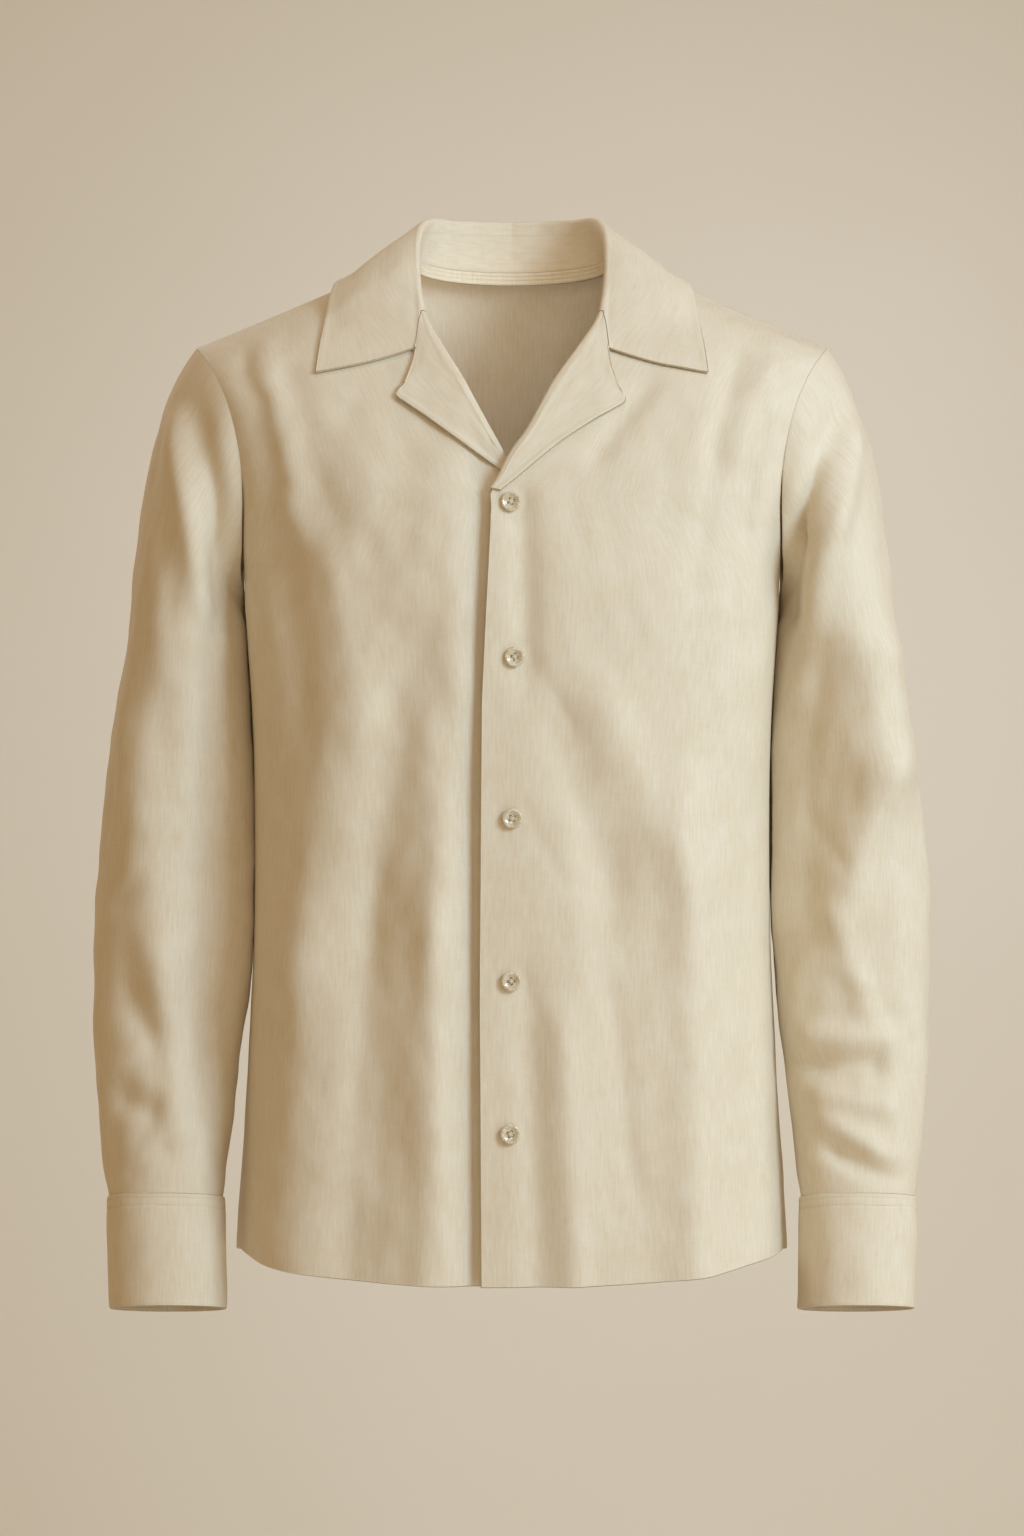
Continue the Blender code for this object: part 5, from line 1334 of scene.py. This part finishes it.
@dataclass
class Lapels:
    """The turned-back top corners of the fronts, each with a little of its facing."""

    body: Body
    collar: Collar
    cloth: bpy.types.Material
    thick: float = 1.5
    rows: int = 13
    finer: int = 8
    gap: float = 0.5
    beyond: float = 1.5
    end_radius: float = 2.0
    end_beyond: float = 0.8
    close_rows: int = 4
    inside: float = 9.0
    soft: float = 2.0
    swell: float = 0.9
    start_ease: float = 2.5
    breaks: dict[Side, float] = field(default_factory=lambda: {Side.LEFT: -167.5, Side.RIGHT: -155.0})

    def start(self, collar: Array) -> tuple[Array, Array]:
        """A curve just past the collar's left end, with the wall's normals there."""
        end = collar[0]
        away = square_to(end - collar[1], unit(np.gradient(end, axis=0)))
        return end + self.gap * away, -grid_normals(collar)[0]

    def grid(self, side: Side, collar: Array, across: Array, times: int) -> Array:
        """A lapel on +X: rows from the gorge to the break, columns round the roll.

        Args:
            side: which lapel.
            collar: the collar's grid on +X, as far across as the notch.
            across: its places across.
            times: rows to each of the lapel's own.

        Returns:
            The grid before it is laid on its front.
        """
        flip = (lambda item: mirror(item)[:, ::-1]) if side is Side.RIGHT else np.array
        front = side.named("front")
        panel, ways = flip(self.body.coarse[front]), flip(self.body.coarse_normals[front])
        start, _ = self.start(collar)
        own = finer(self.rows, times)
        first_level = float(np.interp(STAND_END, across, start[:, 2])) - 2.0
        levels = first_level + own / (self.rows - 1) * (self.breaks[side] - first_level)
        places = np.interp(levels, panel[:, 0, 2], np.arange(len(panel)))
        edge, out = smooth_table(panel[:, 0], places), smooth_table(ways[:, 0], places)
        inward = smooth_table(panel[:, 1] - panel[:, 0], places)
        inward = unit(inward - (inward * out).sum(axis=1, keepdims=True) * out)
        close = smooth_step((own - (self.rows - self.close_rows)) / (self.close_rows - 1))[:, None]
        radius = ROLL_RADIUS + close * (self.end_radius - ROLL_RADIUS)
        centre = edge - (self.beyond + close * (self.end_beyond - self.beyond)) * inward
        in_part, on_roll = across < STAND_END, (across >= STAND_END) & (across <= ROLL_END)
        run_on = self.inside * (1 - across[in_part] / STAND_END)[None, :, None]
        facing = centre[:, None] + inward[:, None] * run_on - (radius * out)[:, None]
        turn = (across[on_roll] - STAND_END) / (ROLL_END - STAND_END)
        arc = fold_arc(centre, inward, out, radius, np.full(len(own), math.pi), turn)
        share = ((across[across > ROLL_END] - ROLL_END) / (NOTCH_AT - ROLL_END))[None, :]
        table = np.array(LAPEL_LEFT if side is Side.LEFT else LAPEL_RIGHT, dtype=float)
        tip = smooth_table(table, own * (len(table) - 1) / (self.rows - 1))
        top = centre + radius * out
        x = top[:, 0:1] * (1 - share) + tip[:, 0:1] * share
        z = top[:, 2:3] * (1 - share) + tip[:, 1:2] * share
        lift = WALL + LAY_CLEAR + tip[:, 2:3] * share + self.soft * (1 - close) * (1 - share) ** 2
        flap = np.stack([x, surface_depth(x, z, panel, ways) - lift, z], axis=2)
        if times == 1:
            flap = lay_over(flap, panel, ways, lift)
        return np.concatenate([facing, arc, flap], axis=1)

    def shape(self, collars: tuple[Array, Array, Array]) -> dict[Side, tuple[Array, Array]]:
        """Coarse and fine grids of both lapels, on their own sides."""
        laid_collar, fine_collar, across = collars
        fine_across = across[across <= NOTCH_AT]
        own = np.arange(11.0)
        made: dict[Side, tuple[Array, Array]] = {}
        for side in Side:
            flip = (lambda item: mirror(item)[::-1]) if side is Side.RIGHT else np.array
            sizes = []
            for whole, places_across, times in ((laid_collar, own, 1), (fine_collar, fine_across, self.finer)):
                end = flip(whole)[:, :len(places_across)]
                grid = self.grid(side, end, places_across, times)
                ease = smooth_step(finer(self.rows, times) / self.start_ease)[:, None, None]
                sizes.append(grid + (1 - ease) * (self.start(end)[0] - grid[0])[None])
            rough, fine = sizes
            places = finer(self.rows, self.finer)
            settle = resample(rough, places, fine_across) - fine
            weight = smooth_step((fine_across - ROLL_END) / 1.0)[None, :, None]
            fine = fine + weight * settle
            if side is Side.RIGHT:
                rough, fine = mirror(rough), mirror(fine)
                top, _ = made[Side.LEFT]
                under = lay_over(rough, top, -grid_normals(top), WALL + LAY_CLEAR, near=10.0, far=20.0)
                fine = fine + resample(under - rough, places, fine_across)
                rough = under
            made[side] = rough, fine
        return made

    def build(self, collars: tuple[Array, Array, Array], grids: dict[Side, tuple[Array, Array]]) -> None:
        """Makes both lapels, fuller along the edge: + swell exp(-((d - 1.7) / 1.4)^2)."""
        _, fine_collar, across = collars
        count = int((across <= NOTCH_AT).sum())
        for side, (_, grid) in grids.items():
            way = grid_normals(grid)
            ends = fine_collar[:, :count] if side is Side.LEFT else mirror(fine_collar)[::-1][:, :count]
            start_way = self.start(ends)[1]
            way[0] = start_way if side is Side.LEFT else -mirror(start_way)
            thick = self.thick + self.swell * np.exp(-((from_last(grid) - 1.7) / 1.4) ** 2)
            name = side.named("lapel")
            piece = shell(name + "_cloth", grid, way, thick, self.cloth)
            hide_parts(name)
            front = side.named("front") + "_cloth"


@dataclass
class NeckTape:
    """The narrow tape with three corded ridges over the back neck seam."""

    collar: Collar
    cloth: bpy.types.Material
    start_y: float = 6.0
    high: float = 9.0
    top: float = 1.5
    thick: float = 1.2
    ridge: float = 0.8
    rows: int = 37

    def build(self) -> None:
        """Three half-round ridges: thickness + ridge |sin(3 pi share)|."""
        line = self.collar.neck_line(17)
        line = line[line[:, 1] > self.start_y]
        line = np.concatenate([line, mirror(line)[::-1][1:]])
        line = smooth_table(line, finer(len(line), 6))
        inward = self.collar.toward_neck(line)
        share = np.linspace(0, 1, self.rows)[:, None, None]
        ridge = self.ridge * np.abs(np.sin(3 * math.pi * share)) ** 0.8
        offset = self.collar.stand_inset + 0.5 * (WALL + self.thick) + 0.9
        level = np.array([0.0, 0.0, 1.0]) * (self.top - self.high * (1 - share))
        middle = line[None] + offset * inward[None] + level
        grid = middle + 0.5 * ridge * inward[None]
        thick = (self.thick + ridge)[:, :, 0] * np.ones((1, len(line)))
        piece = shell("neck_tape_cloth", grid, np.broadcast_to(inward[None], grid.shape), thick, self.cloth)
        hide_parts("neck_tape")


# ---------------------------------------------------------------- buttons and stitching
@dataclass
class Buttons:
    """Five four-hole buttons, sewn through the top front with crossed thread."""

    body: Body
    resin: bpy.types.Material
    thread: bpy.types.Material
    diameter: float = 14.2
    thick: float = 3.0
    under: float = 0.6
    shank: float = 0.5
    hole_radius: float = 0.85
    hole_out: float = 2.0
    hole_deep: float = 1.3
    strand_gap: float = 0.3
    strand_radius: float = 0.2
    levels: tuple[float, ...] = (-177, -285, -397, -510, -616)
    offsets: tuple[float, ...] = (-1.0, 1.5, 0.0, -0.7, -1.4)
    turns: tuple[float, ...] = (0.25, 0.62, 0.1, 0.45, 0.8)

    def frames(self) -> list[tuple[Array, Array, Array, Array]]:
        """Foot, outward, sideways and upward of each button, square to the cloth."""
        panel, ways = self.body.coarse["front_left"], self.body.coarse_normals["front_left"]
        made = []
        for aside, level in zip(self.offsets, self.levels):
            depth = float(surface_depth(np.array(aside), np.array(level), panel, ways))
            foot = np.array([aside, depth, level])
            _, way, _ = height_over(foot[None], panel, ways, SAMPLE_REACH)
            out = way[0]
            cloth = denser(panel, 8).reshape(-1, 3) - foot
            flat = cloth - (cloth @ out)[:, None] * out
            under = (np.linalg.norm(flat, axis=1) < 0.5 * self.diameter) & (np.abs(cloth @ out) < 20.0)
            foot = foot + (cloth[under] @ out).max() * out
            side = unit(np.cross(out, np.array([0.0, 0.0, 1.0])))
            made.append((foot, out, side, np.cross(side, out)))
        return made

    def profile(self, share: Array) -> Array:
        """Height of the face over the back at a share of the radius: dish, rim and edge."""
        return self.thick * np.interp(share, [0.0, 0.34, 0.5, 0.66, 0.8, 0.9, 0.96, 1.0],
                                      [0.60, 0.62, 0.70, 0.90, 1.0, 0.96, 0.82, 0.55])

    def relief(self, spin: float) -> tuple[Array, Array, Array]:
        """Rings from the middle of the face over the edge to that of the back: x, y and height."""
        face_share = np.concatenate([np.linspace(0.012, 0.5, 26), np.linspace(0.52, 0.94, 22),
                                     np.linspace(0.955, 1.0, 6)])
        share = np.concatenate([face_share, [0.97, 0.86, 0.6, 0.012]])[:, None]
        turn = np.linspace(0, 2 * math.pi, 72, endpoint=False)[None, :]
        x, y = 0.5 * self.diameter * share * np.cos(turn), 0.5 * self.diameter * share * np.sin(turn)
        even = np.linspace(0, 1, 60)
        face = np.interp(face_share, even, smooth_table(self.profile(even), np.arange(60.0)))
        height = np.concatenate([face, np.array([0.24, 0.06, 0.0, 0.0]) * self.thick])[:, None] * np.ones_like(turn)
        for quarter in range(4):
            a = spin + math.pi / 4 + quarter * math.pi / 2
            apart = np.hypot(x - self.hole_out * math.cos(a), y - self.hole_out * math.sin(a))
            hole = self.hole_deep * smooth_step((self.hole_radius + 0.25 - apart) / 0.5)
            height[:len(face)] -= hole[:len(face)]
        return x, y, height

    @staticmethod
    def closed(grid: Array) -> tuple[Array, list[Strip]]:
        """Points and quads of rings, with a fan of quads over each end's middle."""
        rows, count = grid.shape[:2]
        size, last = rows * count, (rows - 1) * count
        u, v = weave_map(grid, True)
        points = np.concatenate([grid.reshape(-1, 3), grid[0].mean(axis=0)[None], grid[-1].mean(axis=0)[None]])
        ring = np.arange(0, count, 2)
        ahead, beyond = ring + 1, (ring + 2) % count
        face_fan = np.stack([ahead, ring, np.full(len(ring), size), beyond], axis=1)
        foot_fan = last + np.stack([ring, ahead, beyond, np.full(len(ring), size + 1 - last)], axis=1)
        fans = [Strip(fan, np.zeros((len(ring), 4, 2))) for fan in (face_fan, foot_fan)]
        return points, [grid_strip(rows, count, True, u, v, 0)] + fans

    def build(self) -> None:
        """Makes each button and its thread, square to the cloth."""
        for number, (foot, out, side, up) in enumerate(self.frames(), start=1):
            spin = 2 * math.pi * self.turns[number - 1] / 4
            base = foot + (self.under + self.shank) * out
            x, y, height = self.relief(spin)
            grid = base + x[..., None] * side + y[..., None] * up + height[..., None] * out
            piece = quad_object("button_%d_resin" % number, *self.closed(grid), self.resin, "shell")
            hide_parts("button_%d" % number)
            self.sew(number, base, out, side, up, spin)

    def sew(self, number: int, base: Array, out: Array, side: Array, up: Array, spin: float) -> None:
        """Two crossed bridges of thread between the holes, three strands each."""
        strands = []
        along = np.linspace(-1, 1, 15)
        ring = np.linspace(0, 2 * math.pi, 8, endpoint=False)
        for cross in range(2):
            a = spin + math.pi / 4 + cross * math.pi / 2
            way, beside = math.cos(a) * side + math.sin(a) * up, -math.sin(a) * side + math.cos(a) * up
            for strand in (-self.strand_gap, 0.0, self.strand_gap):
                rise = 0.6 * self.thick + 0.55 + 0.12 * cross - 1.5 * np.abs(along) ** 5
                path = base + np.outer(along * self.hole_out * 1.05, way) + np.outer(rise, out) + strand * beside
                along_way = unit(np.gradient(path, axis=0))
                one = unit(np.cross(along_way, beside))
                round_path = np.cos(ring)[None, :, None] * beside + np.sin(ring)[None, :, None] * one[:, None]
                strands.append(path[:, None] + self.strand_radius * round_path)
        points, strips, start = [], [], 0
        for grid in strands:
            u, v = weave_map(grid, True)
            points.append(grid.reshape(-1, 3))
            strips.append(grid_strip(*grid.shape[:2], True, u, v, start))
            for first in (0, grid.shape[0] - 1):
                caps = np.array([[0, 1, 2, 3], [0, 3, 4, 7], [4, 5, 6, 7]]) + start + first * len(ring)
                strips.append(Strip(caps if first else caps[:, ::-1], np.zeros((3, 4, 2))))
            start += grid.shape[0] * grid.shape[1]
        quad_object("button_%d_thread" % number, np.concatenate(points), strips, self.thread, "cloth")


@dataclass
class Stitching:
    """Rows of lockstitch: short rounded threads that lie on the cloth."""

    thread: bpy.types.Material
    length: float = 2.2
    pitch: float = 3.0
    width: float = 0.55
    rise: float = 0.22
    on_cuff: float = 0.88
    on_collar: float = 0.78
    stand_place: float = 1.9
    back_of: float = 15.0

    def row(self, name: str, lines: list[tuple[Array, Array]]) -> None:
        """Makes one piece of all the stitches along the lines.

        Args:
            name: the piece's name.
            lines: each line's points and the outward normals there.
        """
        along = np.array([-0.5, -0.42, -0.2, 0.0, 0.2, 0.42, 0.5])
        swell = np.array([0.25, 0.75, 1.0, 1.0, 1.0, 0.75, 0.25])
        ring = np.linspace(0, 2 * math.pi, 6, endpoint=False)
        points, strips, start = [], [], 0
        for line, normals in lines:
            run = run_length(line)
            middle = np.arange(0.5 * self.pitch, run[-1], self.pitch)
            place, ahead = read_line(line, run, middle), read_line(line, run, middle + 0.4)
            out = unit(read_line(normals, run, middle))
            way = square_to(ahead - place + 1e-6, out)
            beside = np.cross(way, out)
            body = (place[:, None, None] + (self.length * along)[None, :, None, None] * way[:, None, None]
                    + (0.5 * self.width * swell)[None, :, None, None] * np.cos(ring)[None, None, :, None]
                    * beside[:, None, None]
                    + (self.rise * swell)[None, :, None, None] * np.sin(ring)[None, None, :, None]
                    * out[:, None, None])
            count, rings, sides = body.shape[:3]
            points.append(body.reshape(-1, 3))
            single = grid_strip(rings, sides, True, np.zeros(sides + 1), np.zeros(rings), 0).quads
            caps = np.array([[3, 2, 1, 0], [5, 4, 3, 0]])
            ends = np.concatenate([caps, caps[:, ::-1] + (rings - 1) * sides])
            quads = np.concatenate([single, ends])
            offset = start + np.arange(count)[:, None, None] * rings * sides
            quads = (quads[None] + offset).reshape(-1, 4)
            strips.append(Strip(quads, np.zeros((len(quads), 4, 2))))
            start += count * rings * sides
        quad_object(name, np.concatenate(points), strips, self.thread, "cloth")

    def round_cuff(self, name: str, cuff: Array) -> None:
        """Two rows round a cuff, in its grooves."""
        way = grid_normals(cuff, closed=True)
        down = np.linalg.norm(cuff - cuff[:1], axis=2).mean(axis=1)
        lines = []
        for groove in CUFF_SEAMS:
            row = int(np.argmin(np.abs(down - groove)))
            ring = cuff[row] + self.on_cuff * way[row]
            lines.append((np.concatenate([ring, ring[:1]]), np.concatenate([way[row], way[row][:1]])))
        self.row(name, lines)

    def inside_collar(self, collar: Collar, collars: tuple[Array, Array, Array]) -> None:
        """One row inside the collar's stand, round the back of the neck."""
        column = int(np.argmin(np.abs(collars[2] - self.stand_place)))
        inside = collars[1][:, column]
        inside = inside[inside[:, 1] > self.back_of]
        inward = collar.toward_neck(inside)
        self.row("stitching_collar", [(inside + self.on_collar * inward, inward)])


# ---------------------------------------------------------------- studio
class Lamp(NamedTuple):
    """A soft square light: place and aim in metres, side in metres, power in watts, colour."""

    name: str
    place: tuple[float, float, float]
    aim: tuple[float, float, float]
    size: float
    power: float
    colour: str


LAMPS = [
    Lamp("key", (2.05, -2.0, 0.85), (0.0, 0.0, -0.42), 1.1, 63.0, "c6e6ff"),
    Lamp("top", (0.4, -0.7, 2.2), (0.0, 0.0, -0.1), 1.0, 9.0, "f4f8ff"),
    Lamp("side", (2.7, -0.7, 0.0), (0.0, 0.0, -0.36), 1.2, 10.0, "f4f8ff"),
    Lamp("front", (0.2, -3.1, 0.5), (0.0, 0.0, -0.3), 1.0, 10.5, "f8f8f2"),
    Lamp("inside", (-0.04, -0.01, -0.055), (-0.03, 0.1, -0.05), 0.07, 0.035, "fff2e4"),
    Lamp("wall", (0.4, 3.2, 0.1), (0.15, 5.8, -0.5), 1.8, 38.0, "e2eeff"),
    Lamp("back", (-1.6, 2.2, 0.9), (0.0, 0.0, -0.35), 1.0, 12.0, "e4f0ff"),
    Lamp("low", (0.8, -0.9, -1.15), (0.12, 0.0, -0.75), 0.5, 1.3, "f4f8ff"),
]


@dataclass
class Studio:
    """A plain backdrop that runs into the floor, soft lights and the camera."""

    paper_dark: str = "e2dccb"
    paper_light: str = "e8e3d5"
    distance: float = 3.2
    height: float = -0.362
    frame_high: float = 1.10592
    glow: str = "f4cb90"
    glow_strength: float = 0.42
    wall_y: float = 5800.0
    floor_z: float = -1900.0
    radius: float = 1200.0
    floor_start: float = -5000.0
    wall_top: float = 4200.0
    half_wide: float = 6000.0

    def build(self) -> None:
        """Backdrop, camera and lights."""
        self.sweep()
        self.camera()
        for lamp in LAMPS:
            self.area(lamp)
        world = bpy.data.worlds.new("studio")
        world.use_nodes = True
        glow = world.node_tree.nodes["Background"].inputs
        glow["Color"].default_value, glow["Strength"].default_value = linear(self.glow), self.glow_strength
        bpy.context.scene.world = world
        bpy.context.scene.view_settings.view_transform = "Standard"

    def sweep(self) -> None:
        """A wall and floor joined by a quarter round: profile carried along X."""
        turn = np.linspace(0, math.pi / 2, 24)
        bend_y = self.wall_y - self.radius + self.radius * np.sin(turn)
        bend_z = self.floor_z + self.radius - self.radius * np.cos(turn)
        y = np.concatenate([[self.floor_start], bend_y, [self.wall_y]])
        z = np.concatenate([[self.floor_z], bend_z, [self.wall_top]])
        wide = np.ones((len(y), 3))
        x = np.linspace(-self.half_wide, self.half_wide, 3)
        grid = np.stack([x * wide, y[:, None] * wide, z[:, None] * wide], axis=2)
        mesh = bpy.data.meshes.new("backdrop")
        quads = grid_strip(len(y), 3, False, np.zeros(3), np.zeros(len(y)), 0).quads
        mesh.from_pydata((grid.reshape(-1, 3) * MM).tolist(), [], quads.tolist())
        mesh.shade_smooth()
        paper, tree, shader = new_material("backdrop_paper", {"Roughness": 0.95, "Specular IOR Level": 0.1})
        place = add_node(tree, "ShaderNodeTexCoord").outputs["Object"]
        cloudy = add_node(tree, "ShaderNodeTexNoise", None, {"Vector": place, "Scale": 0.9, "Detail": 2.0})
        add_node(tree, "ShaderNodeMix", {"data_type": "RGBA"},
                 {"Factor": cloudy.outputs["Fac"], "A": linear(self.paper_dark), "B": linear(self.paper_light)},
                 {"Result": shader["Base Color"]})
        mesh.materials.append(paper)
        screen = add_object("backdrop", mesh)

    def camera(self) -> None:
        """A level camera whose frame is frame_high metres tall at the shirt."""
        lens = bpy.data.cameras.new("camera")
        lens.sensor_fit = "VERTICAL"
        lens.sensor_height = 36.0
        lens.lens = lens.sensor_height * self.distance / self.frame_high
        seat = add_object("camera", lens)
        seat.location = (0.0, -self.distance, self.height)
        seat.rotation_euler = (math.pi / 2, 0.0, 0.0)
        bpy.context.scene.camera = seat

    @staticmethod
    def area(row: Lamp) -> None:
        """A square soft light at its place, facing its aim and unseen by the camera."""
        light = bpy.data.lights.new(row.name, "AREA")
        light.shape, light.size, light.energy = "SQUARE", row.size, row.power
        light.color = linear(row.colour)[:3]
        lamp = add_object(row.name, light)
        away = np.array(row.place) - np.array(row.aim)
        level = math.hypot(away[0], away[1])
        lamp.location, lamp.visible_camera = row.place, False
        lamp.rotation_euler = (math.pi / 2 - math.atan2(away[2], level), 0.0, math.atan2(away[0], -away[1]))


def main() -> None:
    """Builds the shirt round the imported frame, and the studio."""
    logging.basicConfig(level=logging.INFO, format="%(name)s %(message)s")
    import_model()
    Studio().build()
    cloth, thread, resin = WovenCloth().material(), SewingThread().material(), CastResin().material()
    body = Body(cloth)
    body.shape()
    collar = Collar(body, cloth)
    collars = collar.shape()
    lapels = Lapels(body, collar, cloth)
    lapel_grids = lapels.shape(collars)
    buttons = Buttons(body, resin, thread)
    feet = np.array([frame[0] for frame in buttons.frames()])
    body.crease([collars[0][:, 7:], lapel_grids[Side.LEFT][0], lapel_grids[Side.RIGHT][0]], feet)
    cuffs = Sleeves(body, cloth).build()
    collar.build(collars[1])
    lapels.build(collars, lapel_grids)
    NeckTape(collar, cloth).build()
    body.build()
    buttons.build()
    stitching = Stitching(thread)
    for side, cuff in cuffs.items():
        stitching.round_cuff(side.named("stitching_cuff"), cuff)
    stitching.inside_collar(collar, collars)


if __name__ == "__main__":
    main()
